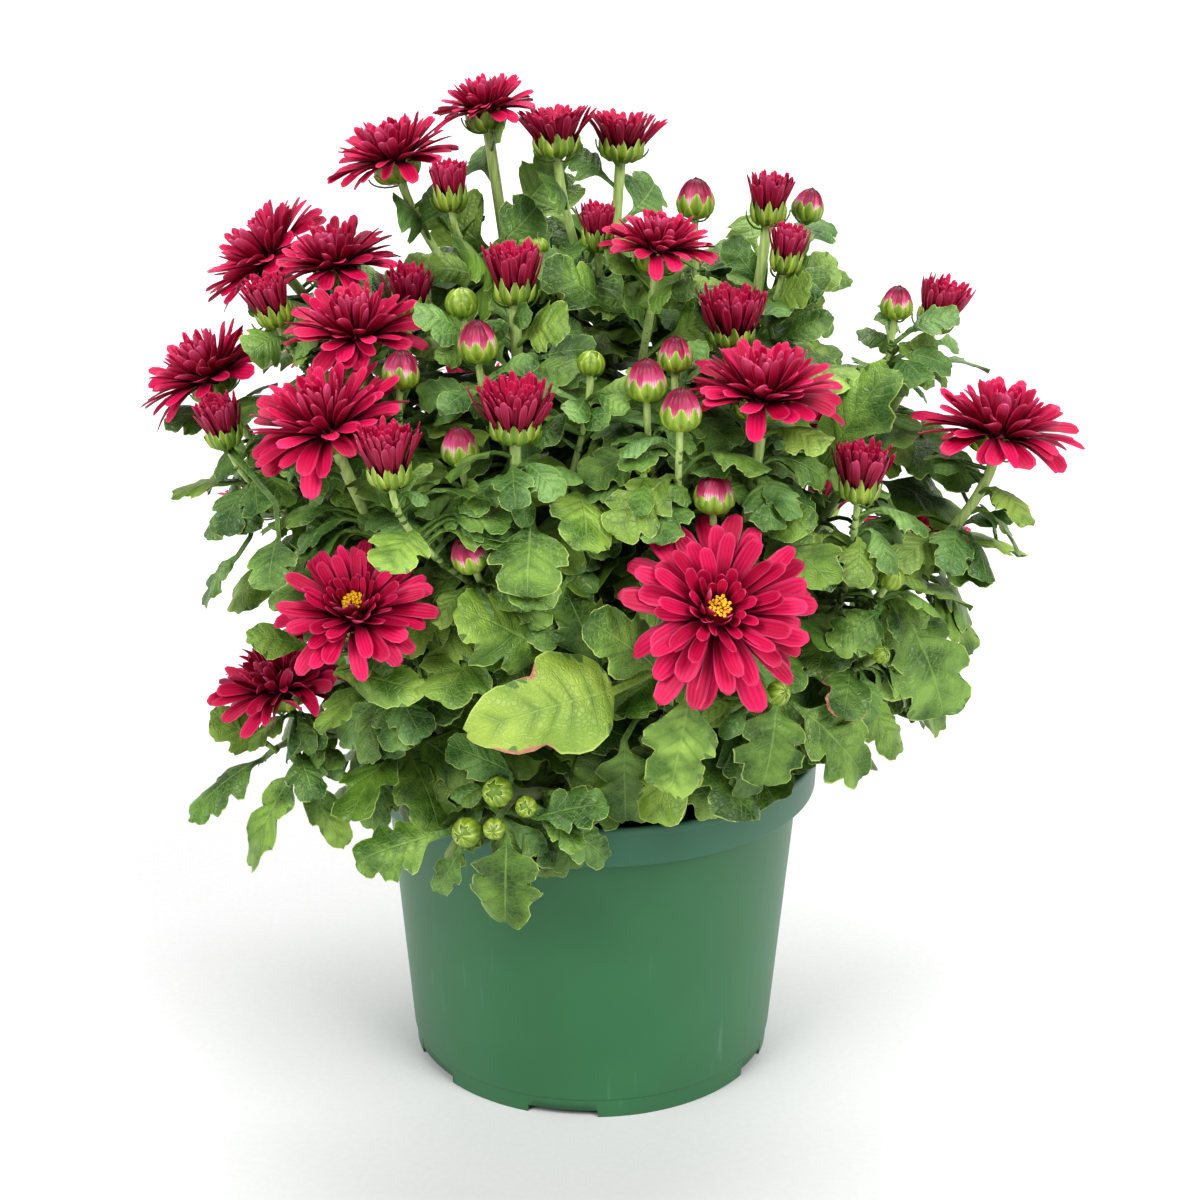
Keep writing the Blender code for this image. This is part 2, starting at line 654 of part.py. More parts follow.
def swept(name, path, radii, profile, collection):
    """A tube along a path with a radius at each point, as a closed mesh object."""
    curve = bpy.data.curves.new(name, "CURVE")
    curve.dimensions = "3D"
    curve.bevel_mode = "OBJECT"
    curve.bevel_object = profile
    curve.use_fill_caps = True
    spline = curve.splines.new("POLY")
    spline.points.add(len(path) - 1)
    for point, place, radius in zip(spline.points, path, radii):
        point.co = (*(place * MM), 1)
        point.radius = radius
    guide = bpy.data.objects.new(name, curve)
    collection.objects.link(guide)
    mesh = evaluated_mesh(guide)
    bpy.data.objects.remove(guide)
    work = bmesh.new()
    work.from_mesh(mesh)
    bmesh.ops.remove_doubles(work, verts=work.verts, dist=1e-6)
    bmesh.ops.recalc_face_normals(work, faces=work.faces)
    work.to_mesh(mesh)
    work.free()
    return new_object(name, mesh, collection)


def stalk_form(path, head, is_main):
    """The points and radii of a stem or stalk, ending in its calyx cup or its bud."""
    kind, x, y, z, width, tilt, bearing, fork = head
    axis, seat = pointing(tilt, bearing), np.array([x, y, z], float)
    slim = STALK_RADIUS if kind in ("open", "cup") else BUD_STALK_RADIUS
    points = list(path)
    if is_main:
        ends = [STEM_ROOT_RADIUS, STEM_TOP_RADIUS]
        radii = list(np.interp(np.arange(len(path)), [1, len(path) - 1], ends))
    else:
        radii = [slim] * len(path)
    if kind in ("open", "cup", "half"):
        cup = cup_radius(kind, width)
        points += [seat - 3.0 * axis, seat]
        radii += [cup, cup * 0.92]
    elif kind in ("bud", "green"):
        half = 0.5 * width
        points += [seat - 0.35 * half * axis, seat + 0.45 * half * axis, seat + 1.1 * half * axis]
        radii += [half, 0.86 * half, 0.25 * half]
    else:
        radii[-1] = 0.6
    return points, radii


def cup_radius(kind, width):
    if kind == "open":
        return 0.13 * width + 1.6
    return 0.20 * width + 1.6


def leafy_stem(name, stem, root, heads, leaves, profile, collection, colours):
    """One stem with its stalks, cups, buds and leaves, joined by one Boolean union."""
    repeats = bpy.data.collections.new("repeats")
    bpy.context.scene.collection.children.link(repeats)
    body = None
    for k, (path, head) in enumerate(zip(stem_paths(root, heads), heads)):
        points, radii = stalk_form(path, head, k == 0)
        home = collection if k == 0 else repeats
        made = swept(name if k == 0 else f"stalk_{k}", points, radii, profile, home)
        body = body or made
    for i, leaf in enumerate(leaf for leaf in leaves if leaf["stem"] == stem):
        new_object(f"leaf_{i}", mesh_of("leaf", *leaf_cage(leaf, RIB_HALF_THICKNESS)), repeats)
    join = body.modifiers.new("join", "BOOLEAN")
    join.operation = "UNION"
    join.operand_type = "COLLECTION"
    join.collection = repeats
    join.solver = "MANIFOLD"
    whole = evaluated_mesh(body)
    body.modifiers.clear()
    body.data = whole
    for piece in list(repeats.objects):
        bpy.data.objects.remove(piece)
    bpy.data.collections.remove(repeats)
    body.data.materials.clear()
    body.data.materials.append(colours["leaf"])
    return body


def petal_tiers(kind, width):
    """For each tier of petals: rise in degrees and length in mm, from the outermost tier in."""
    half = 0.5 * width
    core = 0.2 * half + 1.0
    if kind == "open":
        return [(6, half - core), (28, 0.92 * half - core), (54, 0.72 * half)]
    top = brush_height(kind, width)
    out = half - 0.85 * cup_radius(kind, width)
    lean = math.atan2(top - 2.6, out)
    return [(math.degrees(lean), math.hypot(top - 2.6, out)), (math.degrees(lean) + 10, top - 3.0)]


def ray_head(name, kind, width, collection, colour):
    """The red rays of one head: a low core whose facets are drawn out into petals.

    The core has rings of points, each turned half a step from the one below. Between two rings
    every facet that stands on its point becomes a petal, three-sided at its root, widest at its
    middle and blunt at its tip.
    """
    half = 0.5 * width
    count = OPEN_COUNT if kind == "open" else HALF_OPEN_COUNT
    tiers = petal_tiers(kind, width)
    foot = cup_radius(kind, width) * 0.85
    base = 0.6
    levels = [(foot * 0.86, base), (foot, base + 2.0), (foot * 0.62, base + 0.28 * half + 1.5)]
    top = base + 0.34 * half + 2.2
    if kind != "open":
        levels[2] = (foot * 0.6, base + 3.6)
        top = base + 5.0
    work = bmesh.new()
    rings = []
    for tier, (radius, height) in enumerate(levels):
        angles = (np.arange(count) + 0.5 * tier) * 2 * math.pi / count
        rings.append([work.verts.new((radius * math.cos(a), radius * math.sin(a), height)) for a in angles])
    crown = work.verts.new((0, 0, top))
    work.faces.new(rings[0][::-1])
    petals = []
    for tier in (0, 1):
        low, high = rings[tier], rings[tier + 1]
        for i in range(count):
            j = (i + 1) % count
            # The upper ring's point i lies half a step past the lower ring's point i
            work.faces.new((low[i], low[j], high[i]))
            petals.append((tier, high[i], high[j], low[j]))
    for i in range(count):
        petals.append((2, rings[2][i], rings[2][(i + 1) % count], crown))
    for tier, left, right, point in petals:
        if tier >= len(tiers):
            work.faces.new((left, point, right) if tier < 2 else (left, right, point))
            continue
        draw_petal(work, left, right, point, tier, tiers[tier], half, count, kind == "open" and tier == 0)
    bmesh.ops.recalc_face_normals(work, faces=work.faces)
    for vert in work.verts:
        vert.co *= MM
    mesh = bpy.data.meshes.new(name)
    work.to_mesh(mesh)
    work.free()
    mesh.materials.append(colour)
    return new_object(name, mesh, collection)


def draw_petal(work, left, right, point, tier, form, half, count, blunt_tip):
    """Draws a facet out into a petal: a wide section with a keel below, then a blunt or pointed tip."""
    rise, length = math.radians(form[0]), form[1]
    root = (np.array(left.co) + np.array(right.co)) / 2
    out = np.array([root[0], root[1], 0.0])
    out = unit(out)
    across = np.array([-out[1], out[0], 0.0])
    ahead = math.cos(rise) * out + math.sin(rise) * np.array([0, 0, 1.0])
    under = np.cross(across, ahead)
    if under[2] > 0:
        under = -under
    wide = min(PETAL_SPREAD * math.pi * half / count, PETAL_WIDTH_LIMIT) / 2 * PETAL_SHARES[tier]
    keel = PETAL_KEEL if tier < 2 else -PETAL_KEEL
    droop = 0.10 * length if tier == 0 else 0.0
    middle = root + PETAL_MIDDLE * length * ahead + np.array([0, 0, 0.04 * length])
    end = root + length * ahead - np.array([0, 0, droop])
    if np.dot(np.array(left.co) - root, across) < 0:
        across = -across
    ring = [middle + wide * across, middle - wide * across, middle + keel * under]
    a, b, c = (work.verts.new(tuple(p)) for p in ring)
    faces = [(left, right, b, a), (right, point, c, b), (point, left, a, c)]
    if blunt_tip:
        d, e = (work.verts.new(tuple(end + side * 0.5 * wide * across)) for side in (1, -1))
        faces += [(a, b, e, d), (b, c, e), (c, a, d), (c, d, e)]
    else:
        d = work.verts.new(tuple(end))
        faces += [(a, b, d), (b, c, d), (c, a, d)]
    for face in faces:
        work.faces.new(face)


def set_head(head_object, x, y, z, tilt, bearing, spin):
    """Seats a head on its cup: its axis leans by the tilt towards the bearing."""
    axis = pointing(tilt, bearing)
    side = unit(np.cross([0.0, 1.0, 0.05], axis))
    other = np.cross(axis, side)
    turn = np.column_stack([
        side * math.cos(spin) + other * math.sin(spin),
        other * math.cos(spin) - side * math.sin(spin),
        axis,
    ])
    for vert in head_object.data.vertices:
        vert.co = tuple(turn @ np.array(vert.co) + np.array([x, y, z]) * MM)


def plant_pot(collection, colours):
    """The pot, turned from one profile, with gaps cut into its foot."""
    slope = (WALL_TOP_RADIUS - FOOT_RADIUS) / (POT_HEIGHT - RIM_BAND)
    outer = [
        (RIM_RADIUS - 3.0, POT_HEIGHT - 1.0),
        (RIM_RADIUS - 0.4, POT_HEIGHT),
        (RIM_RADIUS, POT_HEIGHT - 1.2),
        (RIM_RADIUS - 1.0, POT_HEIGHT - RIM_BAND + 0.6),
        (WALL_TOP_RADIUS, POT_HEIGHT - RIM_BAND),
        (FOOT_RADIUS + slope * RIDGE_HEIGHT, RIDGE_HEIGHT),
        (FOOT_RADIUS - 0.3, 0.0),
        (FOOT_RADIUS - 0.3 - WALL, 0.0),
        (FOOT_RADIUS - 0.3 - WALL, BASE_RAISE),
        (0.0, BASE_RAISE),
        (0.0, BASE_RAISE + WALL),
        (FOOT_RADIUS - WALL - 0.4, BASE_RAISE + WALL),
        (WALL_TOP_RADIUS - WALL, POT_HEIGHT - RIM_BAND - 0.6),
        (RIM_RADIUS - 4.0, POT_HEIGHT - RIM_BAND + 2.4),
    ]
    mesh = bpy.data.meshes.new("pot")
    mesh.from_pydata([(r * MM, 0, z * MM) for r, z in outer], [],
                     [(i, (i + 1) % len(outer)) for i in range(len(outer)) if i != 9])
    pot = new_object("pot", mesh, collection)
    screw = pot.modifiers.new("turn", "SCREW")
    screw.steps = screw.render_steps = POT_STEPS
    screw.use_merge_vertices = True
    screw.merge_threshold = 0.00001
    cutters = bpy.data.collections.new("cutters")
    bpy.context.scene.collection.children.link(cutters)
    for i, (middle, width) in enumerate(FOOT_GAPS):
        mesh = bpy.data.meshes.new(f"foot_gap_{i}")
        work = bmesh.new()
        bmesh.ops.create_cube(work, size=1)
        work.to_mesh(mesh)
        work.free()
        across = 2 * FOOT_RADIUS * math.sin(math.radians(width / 2))
        cutter = new_object(f"foot_gap_{i}", mesh, cutters)
        cutter.scale = (across * MM, 30 * MM, 2 * (BASE_RAISE - 0.4) * MM)
        turn = math.radians(middle)
        cutter.location = (FOOT_RADIUS * math.sin(turn) * MM, -FOOT_RADIUS * math.cos(turn) * MM, 0)
        cutter.rotation_euler = (0, 0, turn)
        cutter.hide_render = True
        cutter.display_type = "WIRE"
    cut = pot.modifiers.new("foot gaps", "BOOLEAN")
    cut.operation = "DIFFERENCE"
    cut.operand_type = "COLLECTION"
    cut.collection = cutters
    cut.solver = "EXACT"
    pot.data.materials.append(colours["pot"])
    return pot


def potting_soil(collection, colours):
    """The soil body, with a plain hole for each stem."""
    inner = FOOT_RADIUS - WALL - 1.4
    wall = WALL_TOP_RADIUS - WALL - 1.2
    profile = [
        (0.0, SOIL_TOP + SOIL_CROWN),
        (RIM_RADIUS - 5.6, SOIL_TOP),
        (RIM_RADIUS - 5.6, POT_HEIGHT - RIM_BAND + 4.2),
        (wall, POT_HEIGHT - RIM_BAND - 1.0),
        (inner, BASE_RAISE + WALL + GAP),
        (0.0, BASE_RAISE + WALL + GAP),
    ]
    mesh = bpy.data.meshes.new("soil")
    mesh.from_pydata([(r * MM, 0, z * MM) for r, z in profile], [],
                     [(i, i + 1) for i in range(len(profile) - 1)])
    soil = new_object("soil", mesh, collection)
    screw = soil.modifiers.new("turn", "SCREW")
    screw.steps = screw.render_steps = SOIL_STEPS
    screw.use_merge_vertices = True
    screw.merge_threshold = 0.00001
    holes = bpy.data.collections.new("stem holes")
    bpy.context.scene.collection.children.link(holes)
    radius = (STEM_ROOT_RADIUS + GAP + 0.05) / math.cos(math.pi / HOLE_SIDES)
    for i, (root, heads) in enumerate(STEMS):
        mesh = bpy.data.meshes.new(f"hole_{i}")
        work = bmesh.new()
        bmesh.ops.create_cone(work, cap_ends=True, segments=HOLE_SIDES, radius1=radius * MM,
                              radius2=radius * MM, depth=2 * STEM_DEPTH * MM)
        work.to_mesh(mesh)
        work.free()
        hole = new_object(f"hole_{i}", mesh, holes)
        hole.location = (root[0] * MM, root[1] * MM, SOIL_TOP * MM)
        hole.hide_render = True
        hole.display_type = "WIRE"
    cut = soil.modifiers.new("stem holes", "BOOLEAN")
    cut.operation = "DIFFERENCE"
    cut.operand_type = "COLLECTION"
    cut.collection = holes
    cut.solver = "EXACT"
    soil.data.materials.append(colours["soil"])
    return soil


def build():
    for item in list(bpy.data.objects):
        bpy.data.objects.remove(item)
    plant = bpy.data.collections.new("pot chrysanthemum")
    bpy.context.scene.collection.children.link(plant)
    colours = {
        "pot": material("green plastic", (0.02, 0.13, 0.06), 0.42),
        "soil": material("potting soil", (0.02, 0.015, 0.01), 0.95),
        "leaf": material("leaf green", (0.10, 0.20, 0.05), 0.6),
        "petal": material("petal crimson", (0.42, 0.01, 0.06), 0.55),
    }
    plant_pot(plant, colours)
    potting_soil(plant, colours)
    leaves = all_leaves()
    profile = stem_profile()
    number = {"open": 0, "half": 0}
    for stem, (root, heads) in enumerate(STEMS):
        leafy_stem(f"leafy_stem_{stem + 1:02d}", stem, root, heads, leaves, profile, plant, colours)
        for kind, x, y, z, width, tilt, bearing, fork in heads:
            if kind not in ("open", "cup", "half"):
                continue
            group = "open" if kind == "open" else "half"
            number[group] += 1
            name = {"open": "bloom", "half": "half_open_bloom"}[group]
            head = ray_head(f"{name}_{number[group]:02d}", kind, width, plant, colours["petal"])
            set_head(head, x, y, z, tilt, bearing, 0.7 * stem + 0.4 * number[group])


build()
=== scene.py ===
"""A pot chrysanthemum with crimson blooms, standing in its green plastic pot on a white floor.

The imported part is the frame: every piece below stands where its node stands. Lengths are written in
millimetres and become metres when a mesh is made. The front is -Y, the right is +X, and a bearing
is counted in degrees from the front towards the right.
"""

import math
import random

import bpy
import numpy as np
from mathutils import Matrix
from mathutils.bvhtree import BVHTree


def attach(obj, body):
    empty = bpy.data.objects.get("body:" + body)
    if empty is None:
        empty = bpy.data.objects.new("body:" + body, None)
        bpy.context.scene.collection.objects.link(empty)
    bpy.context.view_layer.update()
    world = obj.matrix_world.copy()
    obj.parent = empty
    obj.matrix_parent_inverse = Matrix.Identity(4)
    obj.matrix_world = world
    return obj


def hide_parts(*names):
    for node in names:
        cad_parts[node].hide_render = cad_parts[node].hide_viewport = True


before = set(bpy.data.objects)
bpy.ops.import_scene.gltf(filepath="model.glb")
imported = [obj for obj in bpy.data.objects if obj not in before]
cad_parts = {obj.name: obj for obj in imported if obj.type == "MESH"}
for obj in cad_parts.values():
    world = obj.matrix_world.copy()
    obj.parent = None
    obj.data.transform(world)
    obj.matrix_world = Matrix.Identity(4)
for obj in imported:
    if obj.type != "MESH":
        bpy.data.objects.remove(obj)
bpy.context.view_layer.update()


# The studio
# A white paper floor in a room with white walls and a dim ceiling, lit by large far screens. The camera
# stands 0.81 m in front of the pot and looks down on it a little through a 72 mm lens.
CAMERA_BACK = 0.812
CAMERA_HEIGHT = 0.454
CAMERA_PITCH = 19.15
CAMERA_YAW = 0.17
CAMERA_ROLL = -0.30
LENS_LENGTH = 72.0
SENSOR_WIDTH = 36.0
FLOOR_SIDE = 16.0
WALL_LIGHT = 1.05
CEILING_LIGHT = 0.18
# Sines of the heights above the horizon between which the walls turn into the ceiling
WALL_TOP = (0.08, 0.30)
# Each screen: tilt from upright, bearing, how wide the plant sees it in degrees, and strength
SCREENS = {
    "top screen": (26, 172, 56, 2.45),
    "right screen": (48, 40, 28, 2.0),
    "left screen": (50, -44, 28, 1.8),
}


def linear(hex_colour):
    """A linear RGBA colour from an sRGB hex value."""
    parts = [int(hex_colour[i:i + 2], 16) / 255 for i in (1, 3, 5)]
    return (*[c / 12.92 if c <= 0.04045 else ((c + 0.055) / 1.055) ** 2.4 for c in parts], 1.0)


def feed(node, inputs):
    """Sets inputs of a node: a socket is linked, a hex colour turned linear, anything else kept."""
    for key, value in inputs.items():
        if isinstance(value, bpy.types.NodeSocket):
            node.id_data.links.new(value, node.inputs[key])
        else:
            node.inputs[key].default_value = linear(value) if isinstance(value, str) else value


def add(tree, kind, inputs=None, output=0, **settings):
    """Adds one node with its settings and inputs, and gives one of the outputs that it then has."""
    made = tree.nodes.new("ShaderNode" + kind)
    stops = settings.pop("stops", ())
    for key, value in settings.items():
        setattr(made, key, value)
    for k, (place, colour) in enumerate(stops):
        stop = made.color_ramp.elements[k] if k < 2 else made.color_ramp.elements.new(place)
        stop.position, stop.color = place, linear(colour)
    feed(made, inputs or {})
    if isinstance(output, str):
        return made.outputs[output]
    return [socket for socket in made.outputs if socket.enabled][output]


def new_material(name):
    """A material with its node tree, its principled shader and its Object coordinates."""
    made = bpy.data.materials.new(name)
    made.use_nodes = True
    tree = made.node_tree
    return made, tree, tree.nodes["Principled BSDF"], add(tree, "TexCoord", output="Object")


def put(name, data):
    """A new object in the scene."""
    made = bpy.data.objects.new(name, data)
    bpy.context.scene.collection.objects.link(made)
    return made


lens = bpy.data.cameras.new("camera")
lens.lens = LENS_LENGTH
lens.sensor_width = SENSOR_WIDTH
camera = put("camera", lens)
camera.matrix_world = (
    Matrix.Translation((0, -CAMERA_BACK, CAMERA_HEIGHT))
    @ Matrix.Rotation(-math.radians(CAMERA_YAW), 4, "Z")
    @ Matrix.Rotation(math.pi / 2 - math.radians(CAMERA_PITCH), 4, "X")
    @ Matrix.Rotation(-math.radians(CAMERA_ROLL), 4, "Z")
)
bpy.context.scene.camera = camera
bpy.context.scene.view_settings.view_transform = "Standard"
bpy.context.scene.view_settings.look = "Medium High Contrast"

walls = bpy.data.worlds.new("white walls")
walls.use_nodes = True
tree = walls.node_tree
height = add(tree, "SeparateXYZ", {0: add(tree, "TexCoord", output="Generated")}, "Z")
light = add(tree, "MapRange", {0: height, "From Min": WALL_TOP[0], "From Max": WALL_TOP[1],
                               "To Min": WALL_LIGHT, "To Max": CEILING_LIGHT})
feed(tree.nodes["Background"], {"Color": "#ffffff", "Strength": light})
bpy.context.scene.world = walls
# Parallel light, softened by the angle that each screen fills
for name, (tilt, bearing, width, strength) in SCREENS.items():
    lamp = bpy.data.lights.new(name, "SUN")
    lamp.angle = math.radians(width)
    lamp.energy = strength
    put(name, lamp).rotation_euler = (math.radians(tilt), 0, math.radians(bearing))

# Matt white paper: nearly all light comes back, with a faint uneven tooth
paper, tree, shader, coords = new_material("matt white paper")
tooth = add(tree, "TexNoise", {"Vector": coords, "Scale": 400.0, "Detail": 2.0})
tint = add(tree, "ValToRGB", {"Fac": tooth}, stops=[(0.0, "#d0d0d0"), (1.0, "#d7d7d7")])
feed(shader, {"Base Color": tint, "Roughness": 0.95, "Specular IOR Level": 0.0})
sheet = bpy.data.meshes.new("floor")
half_floor = FLOOR_SIDE / 2
sheet.from_pydata([(x * half_floor, y * half_floor, 0) for x, y in ((-1, -1), (1, -1), (1, 1), (-1, 1))],
                  [], [(0, 1, 2, 3)])
sheet.materials.append(paper)
floor = put("floor", sheet)


# The pot
# A 165 mm azalea pot, injection moulded in green polypropylene: a thin tapered wall, a deep straight
# rim band with a narrow rolled lip, a step near the bottom and a foot ring with drain gaps.
MM = 0.001
POT_HEIGHT = 120.0
RIM_RADIUS = 82.5
RIM_BAND = 15.3
WALL_TOP_RADIUS = 75.2
FOOT_RADIUS = 66.2
WALL = 1.9
BASE_RAISE = 3.2
RIDGE_HEIGHT = 7.5
# Middle bearing and width in degrees of each gap in the foot
FOOT_GAPS = [(-61, 22), (-9, 22), (64, 15), (115, 20), (170, 22), (-120, 20)]
GAP_HEIGHT = BASE_RAISE - 0.4
POT_STEPS = 120
GAP_EDGE = 0.12


def tube_faces(rows, around):
    """Faces of a closed tube of rows rings, with a pole point at each end.

    Quads join neighbours on neighbouring rings, and triangles join the first ring to the point
    after the rings and the last ring to the point after that.
    """
    j = np.arange(around)
    after = (j + 1) % around
    i = np.arange(rows - 1)[:, None] * around
    quads = np.stack([i + j, i + after, i + around + after, i + around + j], axis=-1).reshape(-1, 4)
    last = (rows - 1) * around
    first_pole = np.full(around, rows * around)
    start = np.stack([after, j, first_pole], axis=-1)
    end = np.stack([last + j, last + after, first_pole + 1], axis=-1)
    return quads, np.vstack([start, end])


def tube_points(rings):
    """The ring points in order, then the middle of the first ring and the middle of the last."""
    flat = rings.reshape(-1, rings.shape[-1])
    return np.vstack([flat, rings[0].mean(axis=0), rings[-1].mean(axis=0)])


def tube_form(rings, **even):
    """A closed form of rings, with attributes that are even over it."""
    points = tube_points(rings)
    values = {key: np.full((len(points), *np.shape(value)), value, float) for key, value in even.items()}
    return points, *tube_faces(*rings.shape[:2]), values


def new_piece(name, forms, material, nodes):
    """One object from closed forms, each given as points in mm, quads, triangles and attributes.

    An attribute is a value or a vector for each point of its form. Where it is called rim, edges
    between two points that it marks are sharp.
    """
    first = 0
    points, quads, triangles, values = [], [], [], {}
    for form_points, form_quads, form_triangles, attributes in forms:
        points.append(form_points)
        quads.append(form_quads + first)
        triangles.append(form_triangles + first)
        for key, value in attributes.items():
            values.setdefault(key, []).append(value)
        first += len(form_points)
    points = np.vstack(points)
    quads, triangles = np.vstack(quads), np.vstack(triangles)
    mesh = bpy.data.meshes.new(name)
    mesh.vertices.add(len(points))
    mesh.vertices.foreach_set("co", (points * MM).astype(np.float32).ravel())
    corners = np.concatenate([quads.ravel(), triangles.ravel()])
    mesh.loops.add(len(corners))
    mesh.loops.foreach_set("vertex_index", corners.astype(np.int32))
    starts = np.concatenate([4 * np.arange(len(quads)), 4 * len(quads) + 3 * np.arange(len(triangles))])
    mesh.polygons.add(len(starts))
    mesh.polygons.foreach_set("loop_start", starts.astype(np.int32))
    mesh.polygons.foreach_set("use_smooth", np.ones(len(starts), bool))
    rim = values.pop("rim", None)
    for key, value in values.items():
        value = np.concatenate(value).astype(np.float32)
        kind = "FLOAT" if value.ndim == 1 else "FLOAT_VECTOR"
        made = mesh.attributes.new(key, kind, "POINT")
        made.data.foreach_set("value" if value.ndim == 1 else "vector", value.ravel())
    mesh.update(calc_edges=True)
    mesh.validate()
    if rim:
        on_rim = np.concatenate(rim) > 0.9
        ends = np.empty(2 * len(mesh.edges), np.int32)
        mesh.edges.foreach_get("vertices", ends)
        mesh.edges.foreach_set("use_edge_sharp", on_rim[ends].reshape(-1, 2).all(axis=1))
    mesh.materials.append(material)
    piece = put(name, mesh)
    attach(piece, "root")
    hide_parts(*nodes)


def rounded(corners, radius, count=3):
    """A profile whose inner corners are quadratic curves that leave each side the radius before it."""
    corners = np.array(corners, float)
    before, at, after = corners[:-2], corners[1:-1], corners[2:]
    back, ahead = before - at, after - at
    back_length = np.linalg.norm(back, axis=1, keepdims=True)
    ahead_length = np.linalg.norm(ahead, axis=1, keepdims=True)
    start = at + back / back_length * np.minimum(radius, 0.45 * back_length)
    end = at + ahead / ahead_length * np.minimum(radius, 0.45 * ahead_length)
    t = np.linspace(0, 1, count)[None, :, None]
    bends = (1 - t) ** 2 * start[:, None] + 2 * t * (1 - t) * at[:, None] + t**2 * end[:, None]
    return np.vstack([corners[:1], bends.reshape(-1, 2), corners[-1:]])


def turned(profile, angles):
    """Rings of points: each profile point (radius, height) is carried round the Z axis."""
    radius, height = profile[:, 0][:, None], profile[:, 1][:, None]
    return np.stack([radius * np.cos(angles), radius * np.sin(angles), height + 0 * angles], axis=-1)


def pot_form():
    """The turned pot: its wall is even, and inside each gap the foot ring's low edge is lifted."""
    slope = (WALL_TOP_RADIUS - FOOT_RADIUS) / (POT_HEIGHT - RIM_BAND)
    at_ridge = FOOT_RADIUS + slope * RIDGE_HEIGHT
    corners = [
        (0.5, BASE_RAISE),
        (FOOT_RADIUS - 0.3 - WALL, BASE_RAISE),
        (FOOT_RADIUS - 0.3 - WALL, 0.0),
        (FOOT_RADIUS - 0.3, 0.0),
        (at_ridge - 0.55, RIDGE_HEIGHT - 0.5),
        (at_ridge + 0.05, RIDGE_HEIGHT + 0.1),
        (WALL_TOP_RADIUS, POT_HEIGHT - RIM_BAND - 0.2),
        (WALL_TOP_RADIUS + 0.5, POT_HEIGHT - RIM_BAND),
        (RIM_RADIUS - 1.1, POT_HEIGHT - RIM_BAND + 0.5),
        (RIM_RADIUS - 0.7, POT_HEIGHT - 3.6),
        (RIM_RADIUS, POT_HEIGHT - 3.0),
        (RIM_RADIUS, POT_HEIGHT - 1.2),
        (RIM_RADIUS - 0.7, POT_HEIGHT),
        (RIM_RADIUS - 3.0, POT_HEIGHT - 1.0),
        (RIM_RADIUS - 4.0, POT_HEIGHT - RIM_BAND + 2.4),
        (WALL_TOP_RADIUS - WALL, POT_HEIGHT - RIM_BAND - 0.6),
        (FOOT_RADIUS - WALL - 0.4, BASE_RAISE + WALL),
        (0.5, BASE_RAISE + WALL),
    ]
    profile = rounded(corners, 0.5)
    edges = np.array([middle + sign * (0.5 * width + step) for middle, width in FOOT_GAPS
                      for sign in (-1, 1) for step in (-GAP_EDGE, GAP_EDGE)])
    edges = (edges + 180) % 360 - 180
    bearings = np.unique(np.concatenate([np.linspace(-180, 180, POT_STEPS, endpoint=False), edges]))
    in_gap = np.zeros(len(bearings), bool)
    for middle, width in FOOT_GAPS:
        in_gap |= np.abs((bearings - middle + 180) % 360 - 180) < 0.5 * width
    rings = turned(profile, np.radians(bearings - 90))
    lifted = np.maximum(rings[..., 2], GAP_HEIGHT)
    at_foot = (profile[:, 0] > FOOT_RADIUS - 3)[:, None]
    rings[..., 2] = np.where(in_gap & at_foot, lifted, rings[..., 2])
    return tube_form(rings)


# Moulded polypropylene: a satin skin with a soft broad shine, slightly cloudy colour, a greyer rim, and
# a few faint upright scuffs where pots have rubbed against each other
pot_plastic, tree, shader, coords = new_material("moulded green polypropylene")
cloud = add(tree, "TexNoise", {"Vector": coords, "Scale": 14.0, "Detail": 3.0})
body_colour = add(tree, "ValToRGB", {"Fac": cloud}, stops=[(0.3, "#30643f"), (0.7, "#356f48")])
height = add(tree, "SeparateXYZ", {0: coords}, "Z")
at_rim = add(tree, "MapRange", {0: height, "From Min": 0.1045, "From Max": 0.1055})
rim_colour = add(tree, "Mix", {0: at_rim, 6: body_colour, 7: "#366a50"}, data_type="RGBA")
stretch = add(tree, "Mapping", {"Vector": coords, "Rotation": (0.0, 0.35, 0.0), "Scale": (1.0, 1.0, 0.03)})
scratch = add(tree, "TexNoise", {"Vector": stretch, "Scale": 420.0, "Detail": 0.0})
thin = add(tree, "MapRange", {0: scratch, "From Min": 0.70, "From Max": 0.76})
patch = add(tree, "TexNoise", {"Vector": coords, "Scale": 26.0, "Detail": 2.0})
where = add(tree, "MapRange", {0: patch, "From Min": 0.54, "From Max": 0.66, "To Max": 0.1})
scuffs = add(tree, "Math", {0: thin, 1: where}, operation="MULTIPLY")
scuffed = add(tree, "Mix", {0: scuffs, 6: rim_colour, 7: "#9fc0ab"}, data_type="RGBA")
gloss = add(tree, "MapRange", {0: cloud, "To Min": 0.34, "To Max": 0.44})
grain = add(tree, "TexNoise", {"Vector": coords, "Scale": 900.0, "Detail": 1.0})
skin = add(tree, "Bump", {"Height": grain, "Strength": 0.05, "Distance": 0.0002})
feed(shader, {"Base Color": scuffed, "Roughness": gloss, "Normal": skin})
new_piece("pot_moulding", [pot_form()], pot_plastic, ["pot"])


# The soil
# Peat-based potting mix, poured and settled 10 mm under the lip: a dark crumbly bed with loose crumbs
# and a few pale grains of perlite lying on it.
SOIL_TOP = 110.0
SOIL_CROWN = 1.5
SOIL_EDGE = RIM_RADIUS - 5.6
SOIL_RINGS = 30
SOIL_AROUND = 96
RELIEF = 0.5
RELIEF_SEED = 3
RELIEF_WAVES = 18
RELIEF_LENGTHS = (4.0, 16.0)
CRUMBS = 560
CRUMB_SEED = 11
CRUMB_SIZE = (0.6, 2.3)
# Share of the crumbs that are dark peat, and not perlite
DARK_CRUMBS = 0.955


